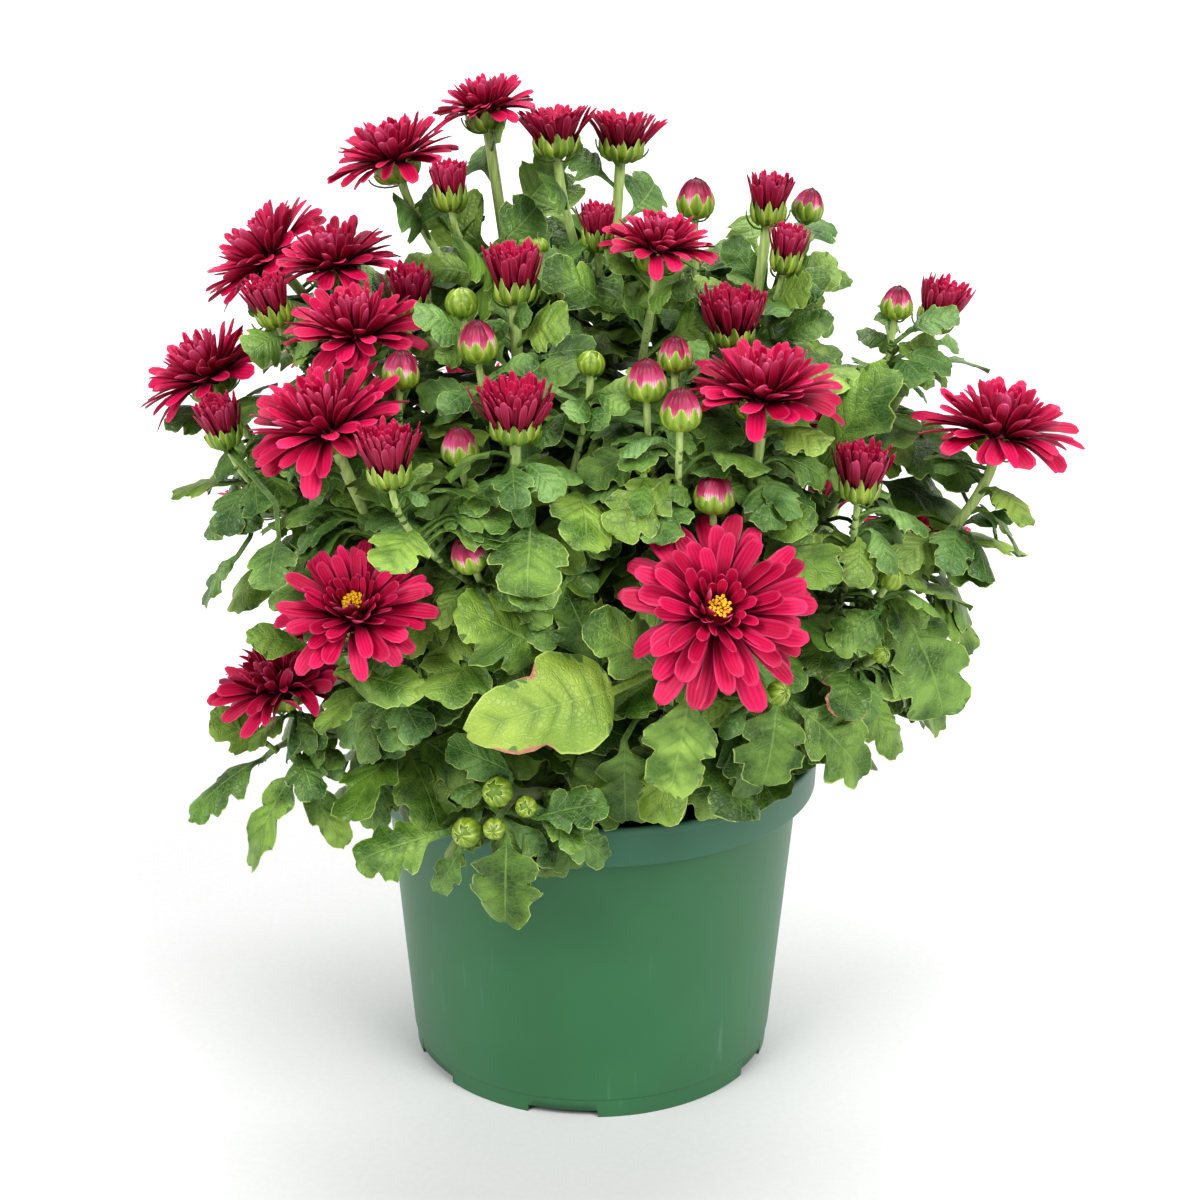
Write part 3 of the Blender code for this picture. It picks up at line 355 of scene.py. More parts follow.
def soil_relief(x, y):
    """A smooth random relief: the mean of sine waves with drawn lengths, directions and phases."""
    draw = np.random.default_rng(RELIEF_SEED)
    lengths = draw.uniform(*RELIEF_LENGTHS, RELIEF_WAVES)
    turns, phases = draw.uniform(0, 2 * math.pi, (2, RELIEF_WAVES))
    total = 0
    for length, turn, phase in zip(lengths, turns, phases):
        total = total + np.sin((x * math.cos(turn) + y * math.sin(turn)) * 2 * math.pi / length + phase)
    return RELIEF * total / math.sqrt(RELIEF_WAVES)


def soil_forms():
    """A turned bed with a low crown, whose top is lifted by the relief, and crumbs: uneven balls."""
    slope = (WALL_TOP_RADIUS - FOOT_RADIUS) / (POT_HEIGHT - RIM_BAND)
    bottom = FOOT_RADIUS - WALL - 1.4
    radii = [0.5, bottom, bottom + slope, SOIL_EDGE - 4.2, *np.linspace(SOIL_EDGE, 1.0, SOIL_RINGS)]
    heights = [5.6, 5.6, 6.5, POT_HEIGHT - RIM_BAND - 3.0] + [SOIL_TOP] * SOIL_RINGS
    around = np.linspace(0, 2 * math.pi, SOIL_AROUND, endpoint=False)
    rings = turned(np.column_stack([radii, heights]), around)
    x, y = rings[4:, :, 0], rings[4:, :, 1]
    far = np.hypot(x, y) / SOIL_EDGE
    rings[4:, :, 2] += SOIL_CROWN * (1 - far**2) + soil_relief(x, y) * (1 - far**6)
    forms = [tube_form(rings, pale=0)]
    draw = np.random.default_rng(CRUMB_SEED)
    away = SOIL_EDGE * 0.985 * np.sqrt(draw.uniform(0.02, 1, CRUMBS))
    turn = draw.uniform(0, 2 * math.pi, CRUMBS)
    size = CRUMB_SIZE[0] + (CRUMB_SIZE[1] - CRUMB_SIZE[0]) * draw.uniform(0, 1, CRUMBS) ** 2
    pale = (draw.uniform(0, 1, CRUMBS) > DARK_CRUMBS).astype(float)
    x, y = away * np.cos(turn), away * np.sin(turn)
    lift = SOIL_TOP + SOIL_CROWN * (1 - (away / SOIL_EDGE) ** 2) + soil_relief(x, y)
    ball = turned(np.array([(0.35, -0.85), (0.8, -0.1), (0.45, 0.75)]), np.arange(6) * math.pi / 3)
    for k in range(CRUMBS):
        uneven = draw.uniform(0.7, 1.25, ball.shape[:2])[..., None]
        rings = ball * uneven * size[k] * draw.uniform(0.7, 1.2, 3) + (x[k], y[k], lift[k] + 0.2 * size[k])
        forms.append(tube_form(rings, pale=pale[k]))
    return forms


# Damp peat: nearly black, matt and crumbly, with brown fibres and white perlite
peat, tree, shader, coords = new_material("damp peat with perlite")
clumps = add(tree, "TexNoise", {"Vector": coords, "Scale": 240.0, "Detail": 5.0})
earth = add(tree, "ValToRGB", {"Fac": clumps}, stops=[
    (0.3, "#0e0a07"), (0.62, "#2a1f16"), (0.8, "#4a3626")])
pale = add(tree, "Attribute", output="Fac", attribute_name="pale")
mixed = add(tree, "Mix", {0: pale, 6: earth, 7: "#c9c4b8"}, data_type="RGBA")
crumble = add(tree, "Bump", {"Height": clumps, "Strength": 0.7, "Distance": 0.0006})
feed(shader, {"Base Color": mixed, "Roughness": 0.92, "Normal": crumble})
new_piece("soil_bed", soil_forms(), peat, ["soil"])


# The stems
# Green, slightly ribbed shoots that stand in the soil and fork into one stalk for each flower head.
# They are round and pale under the heads, and greener and a little woody near the soil.
STEM_DEPTH = 24.0
# Play under the foot of each stem
GAP = 0.3
STEM_ROOT_RADIUS = 3.4
STEM_TOP_RADIUS = 2.2
STALK_RADIUS = 1.9
BUD_STALK_RADIUS = 1.4
CALYX_HEIGHT = 6.0
MAIN_POINTS = 5
STALK_POINTS = 3
SMOOTH_STEPS = 8
STEM_AROUND = 12
# How much slimmer the stems look than their solids
STEM_SLIM = 0.74
# Each stem is (root x, y) and its heads: kind, seat x, y, z, width, tilt from upright, bearing of the
# lean, and where it forks from the main stem (0 for the main stem's own head)
STEMS = [
    ((-12, 10), [
        ("open", -37, 5, 344, 34, 8, -90, 0),
        ("open", -66, -15, 330, 42, 16, -80, 0.62),
        ("half", -47, -34, 324, 14, 6, -40, 0.74)]),
    ((6, 0), [
        ("cup", 9, 5, 334, 26, 4, 90, 0),
        ("cup", -13, -5, 337, 27, 4, -60, 0.66),
        ("half", 1, -45, 313, 13, 6, 0, 0.70),
        ("green", -18, -38, 307, 5, 10, -40, 0.74),
        ("open", 20, -58, 309, 35, 6, 60, 0.45)]),
    ((24, -4), [
        ("half", 57, -25, 318, 17, 4, 60, 0),
        ("bud", 71, -12, 315, 10, 14, 90, 0.80),
        ("bud", 33, -25, 319, 12, 4, 0, 0.55),
        ("half", 62, -45, 306, 13, 10, 70, 0.74)]),
    ((-34, 8), [
        ("open", -112, 12, 292, 47, 42, -80, 0),
        ("open", -87, -15, 295, 42, 10, -60, 0.60),
        ("half", -105, -42, 287, 16, 20, -50, 0.62)]),
    ((-48, -8), [
        ("open", -132, -5, 254, 48, 28, -80, 0),
        ("half", -123, -42, 246, 17, 14, -60, 0.62)]),
    ((-30, -16), [
        ("open", -76, -62, 282, 46, 9, -20, 0),
        ("half", -61, -33, 288, 17, 8, 20, 0.64),
        ("bud", -60, -85, 276, 11, 10, 30, 0.70)]),
    ((-44, -32), [
        ("open", -82, -94, 260, 52, 22, -50, 0)]),
    ((-10, -18), [
        ("half", -25, -70, 301, 20, 4, 0, 0),
        ("bud", -36, -86, 285, 12, 6, -20, 0.62),
        ("green", -42, -66, 294, 10, 6, -60, 0.70)]),
    ((-20, -38), [
        ("half", -24, -106, 266, 27, 8, 0, 0),
        ("bud", -41, -102, 256, 11, 8, -30, 0.62),
        ("green", -1, -88, 280, 8, 4, 20, 0.55),
        ("bud", -38, -112, 225, 11, 30, -30, 0.40),
        ("half", -61, -124, 257, 20, 8, -30, 0.54)]),
    ((12, -26), [
        ("half", 44, -60, 285, 24, 6, 0, 0),
        ("bud", 25, -84, 281, 10, 4, 0, 0.62),
        ("bud", 16, -98, 276, 12, 6, -10, 0.50),
        ("bud", 26, -114, 271, 12, 8, 10, 0.52),
        ("green", 15, -104, 252, 5, 14, -20, 0.44)]),
    ((32, -34), [
        ("open", 52, -92, 270, 49, 5, 10, 0),
        ("bud", 37, -104, 242, 12, 8, 0, 0.48)]),
    ((42, 2), [
        ("half", 116, -14, 280, 19, 18, 70, 0),
        ("bud", 100, -30, 286, 10, 6, 60, 0.72)]),
    ((50, -18), [
        ("open", 133, -50, 247, 51, 8, 70, 0),
        ("half", 84, -84, 241, 20, 6, 30, 0.46),
        ("green", 96, -80, 208, 8, 30, 40, 0.40),
        ("green", 93, -87, 184, 5, 50, 40, 0.34)]),
    ((22, -54), [
        ("open", 38, -120, 210, 58, 54, 4, 0),
        ("green", 58, -114, 181, 7, 60, 40, 0.42)]),
    ((-38, -50), [
        ("open", -74, -108, 205, 47, 32, -10, 0),
        ("open", -102, -78, 168, 42, 18, -40, 0.40),
        ("shoot", -108, -74, 143, 3, 112, -60, 0.45)]),
    ((-8, -58), [
        ("green", -30, -116, 148, 9, 60, -20, 0),
        ("green", -40, -114, 133, 9, 80, -20, 0.66),
        ("green", -21, -116, 143, 6, 70, 10, 0.80),
        ("green", -31, -120, 137, 6, 85, 0, 0.84)]),
    ((-34, 28), [
        ("open", -92, 56, 250, 42, 16, -150, 0),
        ("open", -122, 66, 190, 46, 36, -120, 0.48),
        ("bud", -84, 92, 222, 10, 22, -150, 0.60)]),
    ((-12, 38), [
        ("open", -46, 88, 222, 46, 22, -165, 0),
        ("open", -68, 122, 178, 48, 54, -155, 0.44),
        ("bud", -14, 104, 214, 11, 12, 180, 0.66),
        ("green", -6, 118, 194, 8, 26, 180, 0.50)]),
    ((12, 30), [
        ("cup", 4, 74, 246, 28, 8, 180, 0),
        ("open", 32, 112, 205, 50, 38, 168, 0.52),
        ("half", 38, 70, 240, 16, 8, 150, 0.70)]),
    ((36, 22), [
        ("open", 84, 74, 212, 44, 22, 140, 0),
        ("open", 122, 52, 180, 46, 30, 110, 0.52),
        ("half", 92, 108, 176, 20, 44, 145, 0.44),
        ("green", 60, 98, 200, 9, 18, 160, 0.64)]),
]


def unit(vector):
    """The vector, or each row of an array of them, at length one."""
    return vector / np.linalg.norm(vector, axis=-1, keepdims=True)


def pointing(tilt, bearing):
    """Unit vector tilted from upright, in degrees, towards a bearing with 0 at -Y and 90 at +X."""
    lean, turn = math.radians(tilt), math.radians(bearing)
    return np.array([math.sin(lean) * math.sin(turn), -math.sin(lean) * math.cos(turn), math.cos(lean)])


def hermite(start, end, start_slope, end_slope, t):
    """Points of the cubic that joins two ends with a given slope at each, at shares t of its way."""
    t = t[:, None]
    return ((2 * t**3 - 3 * t**2 + 1) * start + (t**3 - 2 * t**2 + t) * start_slope
            + (3 * t**2 - 2 * t**3) * end + (t**3 - t**2) * end_slope)


def at_share(path, share):
    """Point and direction at a share of a path's length."""
    steps = np.linalg.norm(np.diff(path, axis=0), axis=1)
    along = np.concatenate([[0], np.cumsum(steps)]) / steps.sum()
    point = np.array([np.interp(share, along, path[:, k]) for k in range(3)])
    i = min(max(int(np.searchsorted(along, share)), 1), len(path) - 1)
    return point, unit(path[i] - path[i - 1])


def nearest_on(path, point):
    """The point of a path that lies nearest: the foot of the normal on each step, cut to the step."""
    start, step = path[:-1], np.diff(path, axis=0)
    share = np.clip(((point - start) * step).sum(axis=1) / (step**2).sum(axis=1), 0, 1)[:, None]
    spots = start + share * step
    return spots[np.argmin(((spots - point) ** 2).sum(axis=1))]


def stem_paths(root, heads, detail=1):
    """The main stem's path, then each side stalk's, from its fork to the foot of its head.

    Detail is how many steps take the place of one step of the solid's path, on the same cubics.
    """
    paths = []
    for kind, x, y, z, width, tilt, bearing, fork in heads:
        axis = pointing(tilt, bearing)
        neck = CALYX_HEIGHT if kind in ("open", "cup", "half") else 0.5 * width
        end = np.array([x, y, z], float) - axis * neck
        if fork == 0:
            start = np.array([root[0], root[1], SOIL_TOP + 4.0])
            reach = np.linalg.norm(end - start)
            lean = unit(end - start) * 0.55 + np.array([0, 0, 0.55])
            foot = np.array([root[0], root[1], SOIL_TOP - STEM_DEPTH + GAP])
            trunk, fine = (
                np.vstack([foot, hermite(start, end, lean * reach, axis * reach * 0.75, shares)])
                for shares in (np.linspace(0, 1, MAIN_POINTS),
                               np.linspace(0, 1, detail * (MAIN_POINTS - 1) + 1)))
            paths.append(fine)
        else:
            start, along = at_share(trunk, fork)
            reach = np.linalg.norm(end - start)
            lean = unit(end - start) * 0.6 + along * 0.4
            if detail > 1:
                start = nearest_on(paths[0], start)
            shares = np.linspace(0, 1, detail * (STALK_POINTS - 1) + 1)
            paths.append(hermite(start, end, lean * reach, axis * reach * 0.8, shares))
    return paths


def tube_along(path, radii, ribs, phase):
    """Rings round a path: a circle with shallow ribs, turned to face along the path everywhere.

    Both side vectors come from one vector at right angles to the path's chord, so they never flip.
    """
    along = unit(np.gradient(path, axis=0))
    square = unit(np.cross(path[-1] - path[0], [0.31, 0.9, 0.3]))
    side = unit(np.cross(along, square))[:, None]
    other = np.cross(along, side[:, 0])[:, None]
    angle = (2 * math.pi * np.arange(STEM_AROUND) / STEM_AROUND)[None, :, None]
    radius = np.asarray(radii)[:, None, None] * (1 + ribs * np.cos(0.5 * STEM_AROUND * angle + phase))
    return path[:, None] + radius * (np.cos(angle) * side + np.sin(angle) * other)


def stalk_rings(path, head, is_main):
    """A stem that thins upwards, swells at its joints with the leaves and widens under its head."""
    kind, x, y, z, width, tilt, bearing, fork = head
    share = np.linspace(0, 1, len(path))
    if is_main:
        radii = np.interp(share, [0.06, 1], [STEM_ROOT_RADIUS, STEM_TOP_RADIUS])
    else:
        slim = STALK_RADIUS if kind in ("open", "cup") else BUD_STALK_RADIUS
        radii = np.full(len(path), slim) * np.interp(share, [0, 0.12], [1.15, 1.0])
    radii = radii * (1 + 0.03 * np.sin(share * 23 + x)) * np.interp(share, [0.86, 1.0], [1.0, 1.14])
    if kind == "shoot":
        radii = radii * np.interp(share, [0.7, 1.0], [1.0, 0.35])
    neck = path[-1] + unit(path[-1] - path[-2]) * 1.5
    return tube_along(np.vstack([path, neck]), STEM_SLIM * np.append(radii, radii[-1]), 0.035, x)


def stem_piece(name, stem, forms, material):
    """One of the pieces that stand for the node of a leafy stem, with the stem's number in its name."""
    new_piece(f"{name}_{stem + 1:02d}", forms, material, [f"leafy_stem_{stem + 1:02d}"])


# Living chrysanthemum stem: pale green skin with fine lengthwise lines, a soft bloom of short hairs
# that lightens the edges, and a darker olive foot
stem_skin, tree, shader, coords = new_material("ribbed green stem skin")
streak = add(tree, "Mapping", {"Vector": coords, "Scale": (1.0, 1.0, 0.12)})
lines = add(tree, "TexNoise", {"Vector": streak, "Scale": 900.0, "Detail": 2.0})
mottle = add(tree, "TexNoise", {"Vector": coords, "Scale": 45.0, "Detail": 2.0})
top = add(tree, "ValToRGB", {"Fac": lines}, stops=[(0.3, "#90ab58"), (0.7, "#bfd388")])
low = add(tree, "ValToRGB", {"Fac": mottle}, stops=[(0.3, "#3f4d22"), (0.7, "#69763d")])
height = add(tree, "SeparateXYZ", {0: coords}, "Z")
age = add(tree, "MapRange", {0: height, "From Min": 0.20, "From Max": 0.13})
skin = add(tree, "Mix", {0: age, 6: top, 7: low}, data_type="RGBA")
ribs = add(tree, "Bump", {"Height": lines, "Strength": 0.3, "Distance": 0.0003})
feed(shader, {"Base Color": skin, "Roughness": 0.5, "Sheen Weight": 0.25, "Sheen Roughness": 0.5,
              "Normal": ribs})

smooth_paths = [stem_paths(root, heads, SMOOTH_STEPS) for root, heads in STEMS]
for number, ((root, heads), paths) in enumerate(zip(STEMS, smooth_paths)):
    forms = []
    for k, (path, head) in enumerate(zip(paths, heads)):
        forms.append(tube_form(stalk_rings(path, head, k == 0)))
    stem_piece("stem", number, forms, stem_skin)


# The leaves
# Thin grey-green blades on grooved stalks, lobed and blunt-toothed, with a pale edge that is partly a
# painted highlight, and sunken veins.
# They grow round each stem by the golden angle, large below and small and entire under the heads.
TEST_HALF_THICKNESS = 1.3
BLADE_FOLD = 0.22
GOLDEN_ANGLE = 137.5
LEAF_STEP = 15.0
# Degrees that the first leaf turns on from stem to stem, and from stalk to stalk of one stem
STEM_TURN = 61.0
STALK_TURN = 97.0
# Lengths without leaves: above the soil, at the foot of a side stalk, and under a head
BARE_ABOVE_SOIL = 14.0
BARE_AT_FORK = 9.0
BARE_UNDER_HEAD = 6.0
# Radius of the whole plant at several heights, and height of the foliage's top at several radii
HULL_HEIGHTS = (110, 130, 170, 210, 250, 290, 320, 350)
HULL_RADII = (80, 95, 125, 140, 140, 120, 90, 40)
CROWN_RADII = (0, 60, 100, 140)
CROWN_HEIGHTS = (310, 300, 265, 220)
# Large leaves with a place of their own: stem, blade foot x, y, z, blade tip x, y, z, full width,
# outline, and the tilt and bearing that the upper face looks to
PLACED_LEAVES = [
    (13, 6, -118, 183, -39, -136, 176, 33, "lobed", 62, -10),
    (8, -13, -108, 191, -42, -122, 212, 27, "lobed", 52, -10),
    (8, 2, -104, 186, -10, -112, 217, 20, "three", 66, 0),
    (13, 20, -112, 188, -2, -124, 209, 21, "three", 60, 0),
    (13, 30, -124, 186, 24, -126, 152, 24, "three", 80, 0),
    (13, 10, -100, 159, 11, -92, 127, 20, "lobed", 70, 0),
    (13, 58, -104, 174, 54, -110, 148, 26, "lobed", 72, 20),
    (10, 66, -96, 169, 88, -94, 144, 25, "lobed", 55, 30),
    (12, 100, -58, 193, 117, -68, 155, 36, "lobed", 62, 40),
    (12, 104, -46, 209, 133, -52, 198, 23, "lobed", 35, 30),
    (11, 74, -46, 232, 96, -54, 271, 22, "lobed", 60, -10),
    (8, -19, -112, 236, -20, -128, 217, 26, "three", 40, 0),
    (4, -100, -84, 222, -102, -96, 208, 18, "three", 45, -40),
    (6, -58, -84, 232, -74, -88, 226, 15, "bract", 35, -20),
    (10, 46, -92, 228, 70, -98, 232, 15, "bract", 35, 0),
    (9, 23, -104, 248, 6, -114, 232, 20, "lobed", 45, -10),
    (1, 3, -58, 291, -16, -62, 305, 17, "three", 40, 0),
    (2, 58, -22, 288, 44, -20, 306, 14, "three", 60, -20),
    (2, 60, -48, 278, 77, -50, 287, 12, "bract", 40, 20),
    (2, 70, -18, 296, 86, -20, 291, 12, "bract", 30, 40),
    (14, -111, -70, 139, -135, -76, 120, 18, "lobed", 45, -50),
    (14, -97, -82, 141, -113, -90, 109, 17, "lobed", 60, -40),
    (14, -97, -78, 138, -82, -84, 114, 12, "three", 65, 0),
    (14, -109, -72, 146, -126, -80, 158, 16, "three", 50, -40),
    (15, -50, -112, 131, -76, -113, 122, 20, "lobed", 50, -10),
    (15, -27, -120, 134, -28, -114, 101, 24, "lobed", 75, 0),
    (15, -17, -116, 139, 5, -114, 143, 16, "lobed", 40, 10),
    (15, -26, -110, 152, -46, -114, 163, 16, "three", 50, -10),
    (15, -42, -112, 126, -50, -108, 109, 10, "three", 70, -10),
    (15, -10, -108, 133, 5, -104, 119, 14, "three", 60, 20),
    (14, -81, -106, 184, -52, -117, 182, 17, "bract", 50, 0),
    (14, -91, -90, 186, -110, -98, 193, 14, "bract", 40, -40),
    (12, 87, -78, 167, 101, -82, 147, 18, "three", 60, 30),
    (12, 92, -80, 196, 77, -88, 186, 16, "lobed", 50, 10),
    (4, -119, -50, 204, -130, -54, 188, 14, "lobed", 50, -60),
    (12, 126, -34, 212, 143, -34, 214, 10, "three", 20, 40),
]

# How far they droop, and a rank above that of any leaf of the rule
PLACED_DROOP = 34.0
PLACED_RANK = 2.0

# Outline of the solid leaf, for the tests of room: places along the blade and half widths there, as
# parts of the length and of the leaf's own half width, and the places of the rib points
OUTLINES = {
    "lobed": ((0.20, 0.44, 0.55, 0.78, 0.85), (0.36, 1.0, 0.52, 0.82, 0.40), (0.30, 0.62)),
    "three": ((0.22, 0.60, 0.72), (0.42, 1.0, 0.55), (0.42,)),
    "bract": ((0.30, 0.66), (0.88, 0.86), (0.50,)),
}


def arched(leaf, x, y, lift):
    """Points of a blade: x along it, y across, as parts of its length, and lift in mm off it.

    The midrib is an arc that droops by leaf['droop'] degrees, and the two halves fold up along it.
    """
    turn = math.radians(leaf["droop"])
    size, ahead, up = leaf["length"], leaf["ahead"], leaf["up"]
    side = np.cross(ahead, up)
    x, y, lift = np.broadcast_arrays(*[np.asarray(v, float) for v in (x, y, lift)])
    x, y, lift = x[..., None], y[..., None], lift[..., None]
    rib = leaf["foot"] + size * (np.sin(turn * x) * ahead - (1 - np.cos(turn * x)) * up) / turn
    local_up = np.cos(turn * x) * up + np.sin(turn * x) * ahead
    return rib + size * y * side + (BLADE_FOLD * size * np.abs(y) + lift) * local_up


def leaf_cage(leaf, half_thickness):
    """The solid's plain leaf, as points and faces, for the tests of room."""
    along, across, ribs = OUTLINES[leaf["outline"]]
    half = 0.5 * leaf["width"] / leaf["length"]
    side_x = np.array((0.0, *along))
    side_y = np.array((0.0, *(half * np.array(across))))
    rib_x = np.array((0.0, *ribs))
    points = [
        arched(leaf, side_x, side_y, 0),
        arched(leaf, side_x, -side_y, 0),
        arched(leaf, rib_x, 0 * rib_x, half_thickness),
        arched(leaf, rib_x, 0 * rib_x, -half_thickness),
        arched(leaf, [1.0], [0.0], 0),
    ]
    first = np.cumsum([0] + [len(p) for p in points])
    tip = first[4]
    faces = []
    for edge in (0, 1):
        for face in (2, 3):
            chain = [first[edge] + i for i in range(len(side_x))] + [tip]
            rib = [first[face] + i for i in range(len(rib_x))] + [tip]
            i = j = 0
            while i < len(chain) - 1 or j < len(rib) - 1:
                next_side = side_x[i + 1] if i + 1 < len(side_x) else 1.0
                next_rib = rib_x[j + 1] if j + 1 < len(rib_x) else 1.01
                if i < len(chain) - 1 and next_side <= next_rib:
                    faces.append([chain[i], chain[i + 1], rib[j]])
                    i += 1
                elif rib[j] != tip and rib[j + 1] != tip:
                    faces.append([rib[j], chain[i], rib[j + 1]])
                    j += 1
                else:
                    break
    along_petiole = unit(leaf["foot"] - leaf["root"])
    mitre = unit(along_petiole + leaf["ahead"])
    side = unit(np.cross(mitre, leaf["up"]))
    lift = np.cross(side, mitre)
    for k, offset in enumerate((side, -side, half_thickness * lift, -half_thickness * lift)):
        points[k][0] = leaf["foot"] + offset
    ring = [first[0], first[2], first[1], first[3]]
    side = unit(np.cross(along_petiole, lift))
    lift = half_thickness * np.cross(side, along_petiole)
    root = leaf["root"] + np.array([side, lift, -side, -lift])
    base = first[-1]
    faces += [[ring[k], ring[(k + 1) % 4], base + (k + 1) % 4, base + k] for k in range(4)]
    faces.append([base + k for k in range(4)])
    return np.vstack(points + [root]), faces


def tree_of(points, faces):
    """A search tree of the faces, which finds the faces of another one that cross them."""
    return BVHTree.FromPolygons([tuple(p) for p in points], faces)


def hull_faces(rows, sides):
    """The side faces of a stack of rings."""
    ring = [(k, (k + 1) % sides) for k in range(sides)]
    return [[sides * i + a, sides * i + b, sides * (i + 1) + b, sides * (i + 1) + a]
            for i in range(rows - 1) for a, b in ring]


def tube_hull(path, radius):
    """A four-sided tube round a path, for the tests of room."""
    rings = []
    for i, point in enumerate(path):
        along = unit(path[min(i + 1, len(path) - 1)] - path[max(i - 1, 0)])
        side = unit(np.cross(along, [0.3, 0.9, 0.31]))
        other = np.cross(along, side)
        rings.append([point + radius * v for v in (side, other, -side, -other)])
    return np.array(rings).reshape(-1, 3), hull_faces(len(path), 4)


def turned_hull(seat, axis, profile, sides):
    """A turned form on an axis, from (radius, height) pairs, for the tests of room."""
    side = unit(np.cross(axis, [0.3, 0.9, 0.31]))
    other = np.cross(axis, side)
    angles = np.arange(sides) * 2 * math.pi / sides
    rings = [seat + height * axis + radius * (np.cos(a) * side + np.sin(a) * other)
             for radius, height in profile for a in angles]
    return np.array(rings), hull_faces(len(profile), sides)


def brush_height(kind, width):
    """How far the upright petals of a half-open head reach above its seat."""
    return 9.0 if kind == "cup" else min(3.0 + 0.42 * width, 11.5)


def head_hull(kind, seat, axis, width):
    """The room that a head takes up, with the play that its petals need."""
    half = 0.5 * width
    if kind == "open":
        profile = [(0.1, -7), (5, -6), (half + 1, -4), (half + 1.5, 4), (0.7 * half, 0.82 * half + 2),
                   (0.1, 0.9 * half + 2)]
    elif kind in ("cup", "half"):
        top = brush_height(kind, width)
        profile = [(0.1, -7), (0.5 * half + 2, -5), (half + 1, 4), (half + 1, top + 2), (0.1, top + 4)]
    else:
        profile = [(0.1, -half - 2), (half + 1, -half), (half + 1, half), (0.1, half + 2)]
    return turned_hull(seat, axis, profile, 10)


def add_room(taken, owner, points, faces):
    """Adds a form to the room taken: its owner, its tree, and its low and high corners."""
    taken.append((owner, tree_of(points, faces), points.min(axis=0), points.max(axis=0)))


def room_taken():
    """Every stem, head and the pot's rim, as (owner, test tree, low corner, high corner)."""
    taken = []
    for owner, (root, heads) in enumerate(STEMS):
        for path, head in zip(stem_paths(root, heads), heads):
            kind, x, y, z, width, tilt, bearing, fork = head
            radius = STEM_ROOT_RADIUS if fork == 0 else STALK_RADIUS
            add_room(taken, owner, *tube_hull(path, radius + 0.7))
            if kind != "shoot":
                seat, axis = np.array([x, y, z], float), pointing(tilt, bearing)
                add_room(taken, owner, *head_hull(kind, seat, axis, width))
    rim = [(RIM_RADIUS - 5, 100), (RIM_RADIUS - 5, POT_HEIGHT + 0.6), (RIM_RADIUS + 0.8, POT_HEIGHT + 0.6),
           (RIM_RADIUS + 0.8, POT_HEIGHT - RIM_BAND - 1), (WALL_TOP_RADIUS + 1, 103), (70, 40)]
    add_room(taken, -1, *turned_hull(np.zeros(3), np.array([0, 0, 1.0]), rim, 32))
    floor_of_soil = [(0.1, SOIL_TOP + 3), (RIM_RADIUS - 4, SOIL_TOP + 2)]
    add_room(taken, -1, *turned_hull(np.zeros(3), np.array([0, 0, 1.0]), floor_of_soil, 16))
    return taken


def is_clear(taken, owner, points, faces, own=False):
    """True where a leaf meets no room that another stem or the pot takes up.

    With own, it is true where the leaf's blade, its three-cornered faces, meets none of its own stem.
    """
    faces = [face for face in faces if len(face) == 3] if own else faces
    low, high = points.min(axis=0), points.max(axis=0)
    tree = None
    for other, room, room_low, room_high in taken:
        if (other == owner) != own or (low > room_high).any() or (high < room_low).any():
            continue
        tree = tree or tree_of(points, faces)
        if tree.overlap(room):
            return False
    return True


def placed_leaf(row, paths):
    """A leaf with a place of its own: its petiole runs to the nearest point of its stem."""
    stem, fx, fy, fz, tx, ty, tz, width, outline, tilt, bearing = row
    foot, tip = np.array([fx, fy, fz], float), np.array([tx, ty, tz], float)
    chord = unit(tip - foot)
    face = pointing(tilt, bearing)
    face = unit(face - chord * (face @ chord))
    half_turn = math.radians(PLACED_DROOP) / 2
    ahead = math.cos(half_turn) * chord + math.sin(half_turn) * face
    up = math.cos(half_turn) * face - math.sin(half_turn) * chord
    spots = np.array([at_share(path, share)[0] for path in paths for share in np.linspace(0.02, 0.98, 40)])
    spots = spots[spots[:, 2] > SOIL_TOP + 8]
    reach = np.linalg.norm(spots - foot, axis=1) + 25 * np.maximum(0, (spots - foot) @ ahead / 10)
    return {
        "stem": stem, "root": spots[np.argmin(reach)], "foot": foot, "ahead": ahead, "up": up,
        "length": np.linalg.norm(tip - foot) * half_turn / math.sin(half_turn),
        "width": width, "outline": outline, "droop": PLACED_DROOP, "rank": PLACED_RANK,
    }


def grown_leaf(stem, path, share, turn, size, rise, dice, facing=0.0):
    """A leaf that grows out of its stem by the leaf rule: petiole first, then the blade.

    Facing turns its upper face from upright towards outwards.
    """
    root = at_share(path, share)[0]
    level = unit(np.array([math.sin(math.radians(turn)), -math.cos(math.radians(turn)), 0.0]))
    stalk, ahead = (level * math.cos(math.radians(angle)) + np.array([0, 0, math.sin(math.radians(angle))])
                    for angle in (rise + 15, rise))
    stalk = unit(stalk)
    side = unit(np.cross(ahead, [0, 0, 1.0]))
    roll = math.radians(dice.uniform(-22, 22))
    up = np.cross(side, ahead) * math.cos(roll) + side * math.sin(roll)
    if facing:
        up = unit(up + facing * unit(root - np.array(DOME_MIDDLE)))
        ahead = unit(ahead - up * (ahead @ up))
    outline = "three" if size > 16 else "bract"
    broad = {"three": 0.76, "bract": 0.54}[outline] * dice.uniform(0.92, 1.08)
    return {
        "stem": stem, "root": root, "foot": root + stalk * (0.34 * size + 2.0), "ahead": ahead, "up": up,
        "length": size, "width": size * broad, "outline": outline, "droop": dice.uniform(30, 55),
    }


